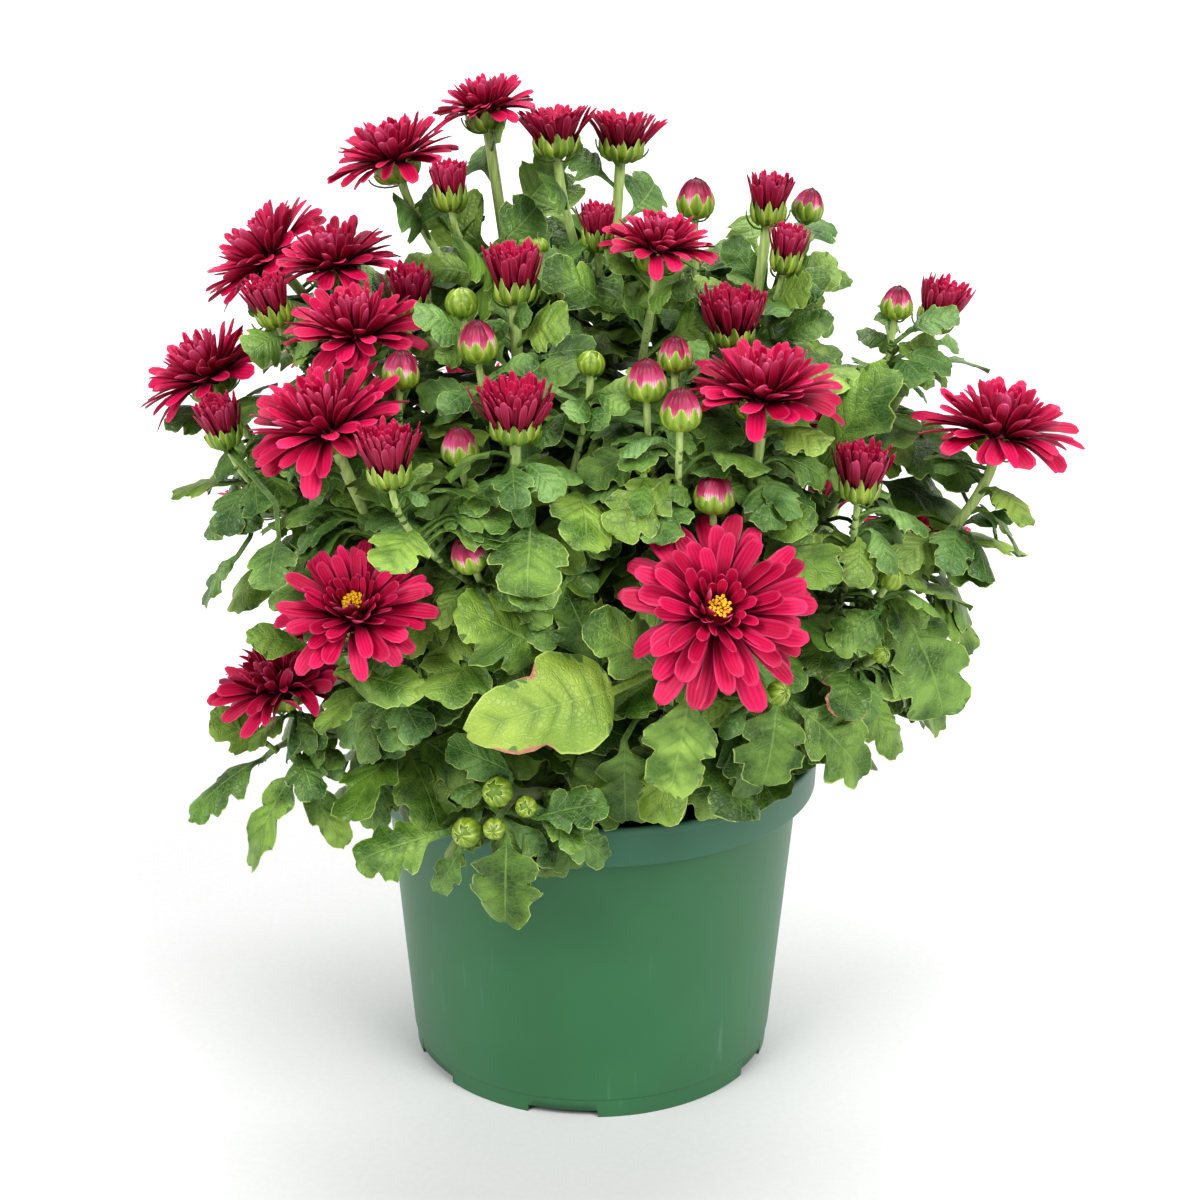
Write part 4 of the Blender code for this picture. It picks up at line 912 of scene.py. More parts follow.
def leaf_rows(stem, paths, shift=0.0, scale=1.0):
    """Where the leaf rule puts leaves, foot to top of each path: rank, stem, path, share, turn, size.

    The turn grows by the golden angle from leaf to leaf. The rank is highest for a large leaf that
    faces out on the dome of the plant, so that those leaves get their places first. Shift, in steps
    between two leaves, and scale are for the small leaves between them.
    """
    rows = []
    for k, path in enumerate(paths):
        reach = np.linalg.norm(np.diff(path, axis=0), axis=1).sum()
        turn = STEM_TURN * stem + STALK_TURN * k + shift * GOLDEN_ANGLE
        place = ((STEM_DEPTH + BARE_ABOVE_SOIL) if k == 0 else BARE_AT_FORK) + shift * LEAF_STEP
        while place < reach - BARE_UNDER_HEAD:
            root = at_share(path, place / reach)[0]
            young = min((reach - place) / (70.0 if k == 0 else 50.0), 1)
            size = scale * (17.0 + 21.0 * young if k == 0 else 15.0 + 20.0 * young) * float(
                np.interp(root[2], [250, 320], [1.0, 0.8]))
            out = unit(np.array([root[0], root[1], 0.6 * (root[2] - 150)]))
            away = float(out[:2] @ [math.sin(math.radians(turn)), -math.cos(math.radians(turn))])
            radius = float(np.hypot(root[0], root[1]))
            outer = radius / float(np.interp(root[2], HULL_HEIGHTS, HULL_RADII))
            upper = root[2] / float(np.interp(radius, CROWN_RADII, CROWN_HEIGHTS)) - 0.08
            rank = max(outer, upper) + 0.30 * away + size / 100.0
            rows.append((rank, stem, k, place / reach, turn, size))
            turn += GOLDEN_ANGLE
            place += LEAF_STEP * (0.5 + size / 60.0)
    return rows


# How steeply the leaves rise at several heights, in degrees
RISE_HEIGHTS = (120, 180, 260, 330)
RISE_ANGLES = (-22, -6, 12, 25)
# What is tried in turn for each leaf: degrees of turn, degrees of rise, share of its size
TRIES = [(0, 0, 1), (24, 0, 1), (-24, 0, 1), (0, 18, 1), (0, -20, 1), (50, 6, 0.92), (-50, 6, 0.92),
         (24, 30, 0.85), (-24, 30, 0.85), (75, 12, 0.8), (-75, 12, 0.8), (0, 42, 0.75), (110, 20, 0.65),
         (-110, 20, 0.65)]
# Later passes of the leaf rule, which no solid stands for: shift and scale of their rows, the half
# thickness that they need, whether they keep clear of other leaves as well as of stems and heads, and
# how far their upper faces turn from upright to outwards, away from the middle of the dome
LATER_PASSES = ((0.5, 0.82, 0.6, True, 0.9), (0.25, 0.80, 0.4, False, 0.9), (0.75, 0.80, 0.4, False, 0.8),
                (0.1, 0.70, 0.3, False, 1.2), (0.6, 0.70, 0.3, False, 1.2))
# The later passes leave out leaves that would stand too deep inside the plant to be seen, and those
# above this height, where the stalks of the highest heads stand nearly bare
DEEP_RANK = 0.87
BARE_HEIGHT = 292.0
DOME_MIDDLE = (0.0, 0.0, 150.0)
# Heads further back than this may be hidden by a leaf
FRONT_HEADS = 30.0
# A leaf further along the line of sight than this share stands at the head and not before it
BEFORE_HEAD = 0.985
# The part of the rim that stays in view: x from and to, y up to, and how far above the rim it counts
RIM_IN_VIEW = (0, 95, -45, 3)


def hides_rim(leaf):
    """True if a leaf's tip would hang in front of the right half of the rim, which stays in view.

    The camera looks down, so a tip in front of the rim hides it from a little higher up as well.
    """
    left, right, front, above = RIM_IN_VIEW
    x, y, z = arched(leaf, 1.0, 0.0, 0.0)
    return left < x < right and y < front and z < POT_HEIGHT + above + 0.4 * max(0, -y - RIM_RADIUS)


def hides_head(leaf):
    """True if a blade comes between the camera and one of the heads at the front.

    A point of the blade does so where its distance from the line of sight to the head's middle is
    less than the head's half width, seen at the same share of the way.
    """
    eye = np.array([0.0, -CAMERA_BACK, CAMERA_HEIGHT]) / MM
    rows = np.array([head[1:5] for root, heads in STEMS for head in heads if head[2] < FRONT_HEADS], float)
    sight = rows[:, :3] - eye
    half = 0.5 * leaf["width"] / leaf["length"]
    along, across = np.array([(0.3, 0), (0.6, -0.8), (0.6, 0), (0.6, 0.8), (1.0, 0)]).T
    spots = arched(leaf, along, half * across, 0.0) - eye
    share = spots @ sight.T / (sight**2).sum(axis=1)
    off = np.linalg.norm(spots[:, None] - share[..., None] * sight, axis=2)
    return bool(((share < BEFORE_HEAD) & (off < share * 0.5 * rows[:, 3])).any())


def all_leaves():
    """The placed leaves, then the rule's leaves by rank, then small ones, each where it is clear.

    The solids hold the first of them, and the rest fill the plant between those.
    """
    paths = [stem_paths(root, heads) for root, heads in STEMS]
    taken = room_taken()
    leaves = []
    for row in PLACED_LEAVES:
        leaf = placed_leaf(row, paths[row[0]])
        cage = leaf_cage(leaf, TEST_HALF_THICKNESS)
        if is_clear(taken, row[0], *cage):
            leaves.append(leaf)
            add_room(taken, row[0], *cage)
    stems_and_heads = room_taken()
    first_pass = (0.0, 1.0, TEST_HALF_THICKNESS, True, 0.0)
    for shift, scale, half_thickness, keeps_clear, facing in (first_pass, *LATER_PASSES):
        room = taken if keeps_clear else stems_and_heads
        rows = [row for stem, stalks in enumerate(paths) for row in leaf_rows(stem, stalks, shift, scale)]
        for number, (rank, stem, k, share, turn, size) in enumerate(sorted(rows, reverse=True)):
            height = at_share(paths[stem][k], share)[0][2]
            if shift > 0 and (rank < DEEP_RANK or height > BARE_HEIGHT):
                continue
            dice = random.Random(number)
            rise = float(np.interp(height, RISE_HEIGHTS, RISE_ANGLES)) + dice.uniform(-8, 8)
            for turn_by, rise_by, part in TRIES:
                leaf = grown_leaf(stem, paths[stem][k], share, turn + turn_by, size * part, rise + rise_by,
                                  dice, facing)
                leaf["rank"] = rank
                if hides_rim(leaf) or (shift > 0 and hides_head(leaf)):
                    continue
                cage = leaf_cage(leaf, half_thickness)
                if is_clear(room, stem, *cage) and is_clear(room, stem, *cage, own=True):
                    leaves.append(leaf)
                    add_room(taken, stem, *cage)
                    break
    return leaves


# For each edge: its count of teeth, their depth, and marks along one side: where the vein to the mark
# leaves the midrib, the mark's place along the leaf, and its place across as a part of the half width
LEAF_EDGES = {
    "lobed": (9, 0.060, [
        (0.00, 0.00, 0.05), (0.05, 0.09, 0.12), (0.09, 0.16, 0.36), (0.13, 0.22, 0.66), (0.18, 0.30, 0.86),
        (0.23, 0.38, 0.93), (0.27, 0.44, 0.85), (0.31, 0.47, 0.56), (0.35, 0.53, 0.84), (0.40, 0.61, 1.00),
        (0.46, 0.69, 1.00), (0.51, 0.75, 0.88), (0.55, 0.77, 0.58), (0.61, 0.83, 0.70), (0.70, 0.91, 0.67),
        (0.80, 0.97, 0.50), (0.90, 1.00, 0.26), (0.97, 1.00, 0.04)]),
    "three": (8, 0.055, [
        (0.00, 0.00, 0.05), (0.05, 0.10, 0.13), (0.11, 0.20, 0.38), (0.17, 0.31, 0.72), (0.23, 0.42, 0.93),
        (0.30, 0.53, 1.00), (0.35, 0.60, 0.93), (0.39, 0.63, 0.62), (0.45, 0.70, 0.74), (0.53, 0.78, 0.80),
        (0.63, 0.88, 0.74), (0.75, 0.96, 0.56), (0.88, 1.00, 0.28), (0.97, 1.00, 0.04)]),
    "broad": (7, 0.035, [
        (0.00, 0.00, 0.06), (0.03, 0.02, 0.28), (0.07, 0.05, 0.58), (0.12, 0.12, 0.84), (0.18, 0.23, 1.00),
        (0.25, 0.35, 1.02), (0.31, 0.45, 0.92), (0.36, 0.50, 0.72), (0.41, 0.56, 0.66), (0.48, 0.65, 0.68),
        (0.58, 0.76, 0.60), (0.70, 0.87, 0.44), (0.84, 0.95, 0.24), (0.97, 1.00, 0.04)]),
    "bract": (5, 0.045, [
        (0.00, 0.00, 0.06), (0.10, 0.16, 0.20), (0.20, 0.30, 0.52), (0.31, 0.45, 0.86), (0.43, 0.59, 1.00),
        (0.55, 0.71, 0.97), (0.67, 0.82, 0.80), (0.79, 0.91, 0.54), (0.90, 0.98, 0.25),
        (0.97, 1.00, 0.05)]),
}
# Where the rows of a tooth lie between its two notches
TOOTH_ROWS = np.array([0.0, 0.22, 0.64])
DEEP_TOOTH_ROWS = np.array([0.0, 0.5])
LARGE_LEAF = 30.0
PETIOLE_ROWS = 3
PETIOLE_SUNK = 1.2
# Leaves of a lower rank stand behind others and get fewer faces
FINE_RANK = 1.12
PETIOLE_HALF_WIDTH = 1.0
BLADE_HALF_THICKNESS = 0.17
VEIN_PERIOD = 0.15
VEIN_START = 0.02


def sheet_form(middle, half_thickness, place, **even):
    """A closed thin sheet: its upper face out along the normal, then its lower face back.

    Middle is a grid of rows along the sheet and columns across it. The first and last column are
    the edges, where both faces meet. Place is three values that the material reads: along, across
    and tone. Under is 1 on the lower face, and rim is 1 along the edges.
    """
    ahead = np.gradient(middle, axis=0)
    across = np.gradient(middle, axis=1)
    normal = unit(np.cross(across, ahead))
    rise = normal * np.broadcast_to(half_thickness, middle.shape[:2])[..., None]
    rings = np.concatenate([middle + rise, (middle - rise)[:, -2:0:-1]], axis=1)
    columns = middle.shape[1]
    values = np.stack([np.broadcast_to(part, middle.shape[:2]) for part in place], axis=-1)
    values = np.concatenate([values, values[:, -2:0:-1]], axis=1)
    face = np.zeros(rings.shape[:2] + (2,))
    face[:, columns:, 0] = 1.0
    face[:, [0, columns - 1]] = (0.5, 1.0)
    under, rim = tube_points(face).T
    form = tube_form(rings, **even)
    form[-1].update(blade=tube_points(values), under=under, rim=rim)
    return form


def curve_through(marks, places):
    """Points of a smooth curve through marks, at places counted in marks.

    Each step is the cubic whose slopes at its two marks are the mean slopes there.
    """
    slope = np.gradient(marks, axis=0)
    i = np.minimum(places.astype(int), len(marks) - 2)
    return hermite(marks[i], marks[i + 1], slope[i], slope[i + 1], places - i)


def leaf_form(leaf, dice):
    """One leaf: a grooved petiole that opens into a blade, as one closed sheet.

    Rows of the blade follow its veins, from the midrib to its two edges, and the edges run through
    the marks. Between two notches the edge swells out as a half sine, so that each tooth is round
    and each notch sharp. Off the plane, the blade folds up along its midrib, curls down towards
    its edge, twists, and waves along the edge.
    """
    teeth, tooth_depth, marks = LEAF_EDGES[leaf["edge"]]
    size = leaf["length"]
    half = 0.5 * leaf["width"] / size
    tooth_rows = TOOTH_ROWS if leaf["rank"] > FINE_RANK else DEEP_TOOTH_ROWS
    columns = 3 if leaf["rank"] < FINE_RANK else 5 if size < LARGE_LEAF else 7
    s = np.append((np.arange(teeth)[:, None] + tooth_rows).ravel(), teeth - 0.02) / teeth
    notch = (1 - np.sin(math.pi * (s * teeth % 1.0)) ** 0.8) * np.sin(math.pi * s) ** 0.3
    sides = []
    for hand in (0, 1):
        uneven = np.array(marks)
        uneven[1:-1, 1:] *= [[dice.uniform(0.975, 1.025), dice.uniform(0.92, 1.08)] for mark in marks[1:-1]]
        sides.append(curve_through(uneven, s * (len(marks) - 1)))
    v = np.linspace(-1, 1, columns)[None, :]
    v = np.sign(v) * np.abs(v) ** 0.85
    start, end, out = [
        np.where(v < 0, left[:, None], right[:, None]) for left, right in zip(*[side.T for side in sides])]
    reach = 1 - (notch * tooth_depth)[:, None] * dice.uniform(0.7, 1.3)
    x = start + np.abs(v) * reach * (end - start)
    y = v * np.sqrt((reach * half * out) ** 2 + (PETIOLE_HALF_WIDTH / size) ** 2)
    curl = dice.uniform(0.15, 0.7)
    twist = dice.uniform(-0.35, 0.35)
    phase = dice.uniform(0, 2 * math.pi)
    wave = 0.028 * np.sin(2 * math.pi * 2.3 * s + phase)[:, None] * np.sign(v) * v**2
    wave = wave + 0.014 * np.sin(2 * math.pi * 5.1 * s + 2 * phase)[:, None] * np.abs(v) ** 3
    bow = -curl * y**2 / half + twist * x * y + wave
    blade = arched(leaf, x, y, size * bow)
    rib = np.interp(s, [0, 1], [0.55, 0.1])[:, None] * np.exp(-((y * size / 0.9) ** 2))
    thickness = (BLADE_HALF_THICKNESS + rib) * np.sqrt(1 - v**6)
    chord = leaf["foot"] - leaf["root"]
    stalk = hermite(leaf["root"], leaf["foot"], 0.9 * chord, 0.9 * np.linalg.norm(chord) * leaf["ahead"],
                    np.linspace(0, 1, PETIOLE_ROWS + 1))
    # Its first row is sunk into the stem
    stalk[0] -= PETIOLE_SUNK * unit(chord)
    direction = unit(np.gradient(stalk, axis=0))
    side = unit(np.cross(direction, leaf["up"]))
    groove = 0.25 * np.abs(v)[..., None] * np.cross(side, direction)[:, None]
    width = np.interp(np.arange(PETIOLE_ROWS + 1), [0, 1, PETIOLE_ROWS], [1.35, 0.95, PETIOLE_HALF_WIDTH])
    petiole = (stalk[:, None] + width[:, None, None] * v[..., None] * side[:, None] + groove)[:-1]
    petiole_thickness = 0.75 * np.sqrt(1 - v**2) * np.ones((PETIOLE_ROWS, 1))
    rows = np.concatenate([np.linspace(-0.3, -0.05, PETIOLE_ROWS), s])[:, None]
    return sheet_form(np.concatenate([petiole, blade]), np.concatenate([petiole_thickness, thickness]),
                      (rows, v, leaf["tone"]), state=(leaf["age"], leaf["dry"], leaf["young"]))


def parts_of(tree, name):
    """The three values that an attribute of the mesh holds."""
    vector = add(tree, "Attribute", output="Vector", attribute_name=name)
    return add(tree, "SeparateXYZ", {0: vector}).node.outputs


def lower_face(tree):
    """One on the lower face of a sheet, and nothing on its upper face and its edge."""
    under = add(tree, "Attribute", output="Fac", attribute_name="under")
    return add(tree, "Math", {0: under, 1: 0.51}, operation="GREATER_THAN")


# Living leaf: a matt, faintly felted green skin that scatters light softly, with paler sunken veins and
# painted shade in bands beside them, a net of fine veins that quilts it, a thin yellow-green edge that is
# partly a painted highlight, and a greyer underside. Young leaves are bluer, old ones turn yellow-green,
# and the oldest one and very few others dry to brown at the edge.
leaf_skin, tree, shader, coords = new_material("matt felted chrysanthemum leaf")
along, across, tone = parts_of(tree, "blade")
age, dry, young = parts_of(tree, "state")
under = lower_face(tree)
across = add(tree, "Math", {0: across}, operation="ABSOLUTE")
mottle = add(tree, "TexNoise", {"Vector": coords, "Scale": 70.0, "Detail": 4.0})
spread = add(tree, "MapRange", {0: mottle, "From Min": 0.38, "From Max": 0.62})
deep = add(tree, "Mix", {0: tone, 6: "#1f3c0b", 7: "#3d6319"}, data_type="RGBA")
lit = add(tree, "Mix", {0: tone, 6: "#527a20", 7: "#97b650"}, data_type="RGBA")
green = add(tree, "Mix", {0: spread, 6: deep, 7: lit}, data_type="RGBA")
blue = add(tree, "Mix", {0: spread, 6: "#305723", 7: "#749a59"}, data_type="RGBA")
green = add(tree, "Mix", {0: young, 6: green, 7: blue}, data_type="RGBA")
yellow = add(tree, "Mix", {0: spread, 6: "#78953a", 7: "#98ae4c"}, data_type="RGBA")
green = add(tree, "Mix", {0: age, 6: green, 7: yellow}, data_type="RGBA")
# Distance to the nearest side vein: they are rows of the blade at even steps
vein = add(tree, "Math", {0: along, 1: VEIN_START}, operation="ADD")
vein = add(tree, "Math", {0: vein, 1: VEIN_PERIOD / 2}, operation="PINGPONG")
valley = add(tree, "MapRange", {0: vein, "From Max": VEIN_PERIOD / 2})
vein = add(tree, "MapRange", {0: vein, "From Min": 0.007, "From Max": 0.001, "To Max": 0.8})
fade = add(tree, "MapRange", {0: across, "From Min": 0.9, "From Max": 0.1})
vein = add(tree, "Math", {0: vein, 1: fade}, operation="MULTIPLY")
midrib = add(tree, "MapRange", {0: across, "From Min": 0.055, "From Max": 0.02})
vein = add(tree, "Math", {0: vein, 1: midrib}, operation="MAXIMUM")
# Cells of 1.8 mm between the finest veins, drawn a little coarser than life to show
cells = add(tree, "TexVoronoi", {"Vector": coords, "Scale": 550.0}, feature="DISTANCE_TO_EDGE")
net = add(tree, "MapRange", {0: cells, "From Min": 0.16, "From Max": 0.0})
faint = add(tree, "Math", {0: net, 1: 0.34}, operation="MULTIPLY")
veins = add(tree, "Math", {0: vein, 1: faint}, operation="MAXIMUM")
veins = add(tree, "Math", {0: veins, 1: 0.42}, operation="MULTIPLY")
# Painted shade: the green darkens in bands beside each side vein, fading out towards the edge
painted_vein_shade = add(tree, "MapRange", {0: valley, "From Min": 0.55, "From Max": 0.0, "To Max": 0.55})
painted_vein_shade = add(tree, "Math", {0: painted_vein_shade, 1: fade}, operation="MULTIPLY")
# The thin pale edge: partly the leaf's own yellow-green margin, partly a painted highlight along it
edge = add(tree, "MapRange", {0: across, "From Min": 0.95, "From Max": 0.99, "To Max": 0.7})
patches = add(tree, "TexNoise", {"Vector": coords, "Scale": 38.0, "Detail": 2.0})
crisp = add(tree, "Math", {0: across, 1: patches}, operation="ADD")
crisp = add(tree, "MapRange", {0: crisp, "From Min": 1.47, "From Max": 1.52})
crisp = add(tree, "Math", {0: crisp, 1: dry}, operation="MULTIPLY")
for share, colour in ((painted_vein_shade, "#2f551a"), (veins, "#8fac58"), (edge, "#bccf74"), (under, "#587539"),
                      (crisp, "#a9755c")):
    green = add(tree, "Mix", {0: share, 6: green, 7: colour}, data_type="RGBA")
relief = add(tree, "Math", {0: vein, 1: -2.0}, operation="MULTIPLY")
relief = add(tree, "Math", {0: relief, 1: valley}, operation="ADD")
quilt = add(tree, "Math", {0: net, 1: -0.8}, operation="MULTIPLY")
relief = add(tree, "Math", {0: relief, 1: quilt}, operation="ADD")
puffed = add(tree, "Bump", {"Height": relief, "Strength": 0.42, "Distance": 0.0004})
feed(shader, {"Base Color": green, "Roughness": 0.40, "Specular IOR Level": 0.42, "Normal": puffed,
              "Subsurface Weight": 0.06, "Subsurface Radius": (0.4, 1.0, 0.15), "Subsurface Scale": 0.001})

# The leaves above this height stand steeper than the rule puts them and show their faces
CROWN_LEAVES = 262.0
# The first placed leaf is the oldest: broad, yellow-green and dry at its edge
OLDEST_LEAF = 0
LEAF_SEED = 1000
# A grown leaf longer than this may be lobed, and one shorter than this is young, in mm
LOBED_LENGTH = 26
YOUNG_LENGTH = 24
# Share of the leaves that haven't dried at the edge
FRESH_LEAVES = 0.996
leaves = all_leaves()
forms_by_stem = {}
for number, leaf in enumerate(leaves):
    dice = random.Random(LEAF_SEED + number)
    oldest = number == OLDEST_LEAF
    leaf["root"] = min((nearest_on(path, leaf["root"]) for path in smooth_paths[leaf["stem"]]),
                       key=lambda spot: np.linalg.norm(spot - leaf["root"]))
    leaf["edge"] = leaf["outline"]
    if leaf["outline"] == "three" and leaf["length"] > LOBED_LENGTH and dice.uniform(0, 1) > 0.6:
        leaf["edge"] = "lobed"
    if oldest:
        leaf["edge"] = "broad"
    if number >= len(PLACED_LEAVES) and leaf["root"][2] > CROWN_LEAVES:
        top = float(np.interp(leaf["root"][2], [CROWN_LEAVES, CROWN_LEAVES + 30], [0.4, 1.0]))
        leaf["ahead"] = unit(leaf["ahead"] + top * np.array([0, 0, 0.5]))
        roll = top * math.radians(dice.uniform(35, 75)) * (1 if leaf["ahead"][0] > 0 else -1)
        up = unit(leaf["up"] - leaf["ahead"] * (leaf["ahead"] @ leaf["up"]))
        leaf["up"] = math.cos(roll) * up + math.sin(roll) * np.cross(leaf["ahead"], up)
        leaf["width"] *= 1 + 0.3 * top
        leaf["length"] *= float(np.interp(leaf["root"][2], [290, 325], [1.0, 0.7]))
    leaf["tone"] = dice.uniform(0, 1)
    least, most = (0.25, 0.75) if leaf["length"] < YOUNG_LENGTH else (0.0, 0.3)
    leaf["young"] = least + most * dice.uniform(0, 1)
    leaf["age"] = 1.0 if oldest else 0.6 * dice.uniform(0, 1) ** 4
    leaf["dry"] = 1.0 if oldest else float(dice.uniform(0, 1) > FRESH_LEAVES)
    forms_by_stem.setdefault(leaf["stem"], []).append(leaf_form(leaf, dice))
for stem, forms in forms_by_stem.items():
    stem_piece("leaves", stem, forms, leaf_skin)


# The flower cups
# Under each flower head stands a green cup of two rows of fleshy oval scales with papery pale edges.
# Two or three thin bracts curl out and up from just below it.
SCALE_ROWS = 7
SCALE_SPREAD = 4
OUTER_SCALES = 8
INNER_SCALES = 8
# Height where the cup's core ends and the petals' feet begin
CUP_RIM = -3.0
CUP_SEED = 2000
THREAD_ROWS = 7
THREADS = 3
# Angle between them, in radians
THREAD_STEP = 2.1


def head_turn(tilt, bearing, spin):
    """The three axes of a head as columns: two across it, turned by the spin, and its own axis."""
    axis = pointing(tilt, bearing)
    side = unit(np.cross([0.0, 1.0, 0.05], axis))
    other = np.cross(axis, side)
    return np.column_stack([
        side * math.cos(spin) + other * math.sin(spin),
        other * math.cos(spin) - side * math.sin(spin),
        axis,
    ])


def spin_of(stem, number):
    """How far a head is turned on its own axis, in radians, so that no two look alike."""
    return 0.7 * stem + 0.4 * number


def cup_radius(kind, width):
    """The radius of a head's cup, which is wider for its width in the heads that still stand upright."""
    return (0.13 if kind == "open" else 0.20) * width + 1.6


def cup_profile(cup, neck, low, shoulder):
    """A function from height to radius: a quarter ellipse from the neck up to the cup's own radius."""
    def radius_at(height):
        rise = np.clip((height - low) / (shoulder - low), 0, 1)
        return neck + (cup - neck) * np.sqrt(1 - (1 - rise) ** 2)
    return radius_at


def scale_form(radius_at, low, high, bearing, width, bulge, lean, tone, blunt=0.42):
    """One scale that lies on a turned form, in the head's own axes.

    Its rows climb from low to high. Its half width grows as a half sine and narrows to a blunt
    point. It bulges off the form most in its middle, and its tip leans out.
    """
    t = np.sin(np.linspace(0, 1, SCALE_ROWS) * math.pi / 2 * 0.985)[:, None]
    v = np.linspace(-1, 1, SCALE_SPREAD + 1)[None, :]
    height = low + (high - low) * t
    radius = radius_at(height)
    half = 0.5 * width * (0.55 + 0.45 * np.sin(math.pi * np.minimum(t / 0.9, 1))) * (1 - t**3.5) ** blunt
    radius = radius + bulge * np.sin(math.pi * t**0.8) ** 0.7 * (1 - v**2) + lean * t**3 + 0.15
    turn = bearing + half * v / np.maximum(radius, 1.0)
    middle = np.stack(np.broadcast_arrays(radius * np.sin(turn), -radius * np.cos(turn), height), axis=-1)
    return sheet_form(middle, 0.32 * np.sqrt(1 - v**4) * (1.0 - 0.6 * t), (t, v, tone))


def turned_form(profile, around, tone, along=0.3):
    """A closed turned core in the head's own axes."""
    rings = turned(np.array(profile), 2 * math.pi * np.arange(around) / around)
    return tube_form(rings, blade=(along, 0, tone), under=0, rim=0)


def thread_form(reach, rise, bearing, tone, start):
    """A thin bract: a narrow sheet on a curve that leaves the stalk level and hooks upwards."""
    t = np.linspace(0, 1, THREAD_ROWS)[:, None]
    v = np.linspace(-1, 1, 3)[None, :]
    out = start[0] + reach * np.sin(t * math.pi / 2) + 0 * v
    height = start[1] + rise * (1 - np.cos(t * math.pi * 0.55)) / 1.16 + 0.25 * v**2
    across = v * 0.75 * np.sin(math.pi * (0.2 + 0.72 * t)) ** 0.8
    x = out * math.sin(bearing) + across * math.cos(bearing)
    y = across * math.sin(bearing) - out * math.cos(bearing)
    middle = np.stack([x, y, height + 0 * v], axis=-1)
    return sheet_form(middle, 0.28 * np.sqrt(1 - v**2), (0.9, 0 * v, tone))


def seated(forms, turn, seat):
    """Forms carried from the head's own axes to its seat."""
    return [(points @ turn.T + seat, *rest) for points, *rest in forms]


def heads_of(*kinds):
    """The heads of some kinds: its number among them, stem, place on it, kind, width, seat and lean."""
    number = 0
    for stem, (root, heads) in enumerate(STEMS):
        for k, (kind, x, y, z, width, tilt, bearing, fork) in enumerate(heads):
            if kind in kinds:
                number += 1
                yield number, stem, k, kind, width, np.array([x, y, z], float), (tilt, bearing)


def cup_forms(kind, width, dice):
    """The green cup of one head: a core, two rows of scales and a few curled bracts.

    The scales of an open head overlap. Those of the others stand apart, and the petals' feet show
    between them.
    """
    cup = cup_radius(kind, width)
    top, share = (0.4, 0.95) if kind == "open" else (1.8, 0.62)
    radius_at = cup_profile(cup, STALK_RADIUS + 0.1, -CALYX_HEIGHT - 0.6, -2.0)
    heights = np.linspace(-CALYX_HEIGHT - 0.6, CUP_RIM, 6)
    sides = [(float(radius_at(height)) * 0.95, height) for height in heights]
    profile = [(0.2, heights[0]), *sides, (0.2, CUP_RIM + 0.1)]
    forms = [turned_form(profile, 20, 0.3)]
    for ring, (count, low, high, wide, bulge) in enumerate((
            (INNER_SCALES, -CALYX_HEIGHT + 1.2, top + 0.8, 1.2 * share, 0.5),
            (OUTER_SCALES, -CALYX_HEIGHT - 0.2, top - 1.2, 1.2 * share, 1.0))):
        step = 2 * math.pi / count
        for i in range(count):
            forms.append(scale_form(
                radius_at, low, high + dice.uniform(-0.8, 0.8),
                (i + 0.5 * ring + dice.uniform(-0.1, 0.1)) * step, wide * step * cup, bulge,
                dice.uniform(0.2, 0.9) + 0.5 * ring, dice.uniform(0, 1)))
    turn = dice.uniform(0, 2 * math.pi)
    for i in range(THREADS):
        forms.append(thread_form(
            cup * 0.9 + dice.uniform(0.5, 2.5), dice.uniform(3.5, 7.0),
            turn + (i + dice.uniform(-0.2, 0.2)) * THREAD_STEP, dice.uniform(0, 0.4),
            (STALK_RADIUS - 0.4, -CALYX_HEIGHT - dice.uniform(0.4, 2.0))))
    return forms


# Fleshy bract scale: glossy fresh yellow-green with a deep green middle and a thin papery edge that is
# nearly white
scale_skin, tree, shader, coords = new_material("fleshy green flower scale")
along, across, tone = parts_of(tree, "blade")
across = add(tree, "Math", {0: across}, operation="ABSOLUTE")
fresh = add(tree, "Mix", {0: tone, 6: "#647f22", 7: "#9db53c"}, data_type="RGBA")
middle = add(tree, "MapRange", {0: across, "From Min": 0.55, "From Max": 0.0, "To Max": 0.65})
keel = add(tree, "Mix", {0: middle, 6: fresh, 7: "#466a1f"}, data_type="RGBA")
paper_edge = add(tree, "MapRange", {0: across, "From Min": 0.62, "From Max": 0.95, "To Max": 0.85})
edged = add(tree, "Mix", {0: paper_edge, 6: keel, 7: "#c9d085"}, data_type="RGBA")
mottle = add(tree, "TexNoise", {"Vector": coords, "Scale": 300.0, "Detail": 2.0})
pits = add(tree, "Bump", {"Height": mottle, "Strength": 0.15, "Distance": 0.0002})
feed(shader, {"Base Color": edged, "Roughness": 0.38, "Subsurface Weight": 0.15, "Normal": pits,
              "Subsurface Radius": (0.5, 1.0, 0.15), "Subsurface Scale": 0.0012})

cups_by_stem = {}
for number, stem, k, kind, width, seat, lean in heads_of("open", "cup", "half"):
    forms = cup_forms(kind, width, random.Random(CUP_SEED + 10 * stem + k))
    cups_by_stem.setdefault(stem, []).extend(seated(forms, head_turn(*lean, 0.0), seat))
for stem, forms in cups_by_stem.items():
    stem_piece("flower_cups", stem, forms, scale_skin)


# The open blooms
# Double heads of about a hundred crimson ray petals in layers. The outer ones are broad and lie nearly
# level or hang a little. The inner ones are narrow and folded, stand up and show their paler backs.
RAYS = 100
RAY_ROWS = 6
RAY_SPREAD = 4
QUILL_SPREAD = 2
BLOOM_SEED = 3000
EYE_SEED = 3500


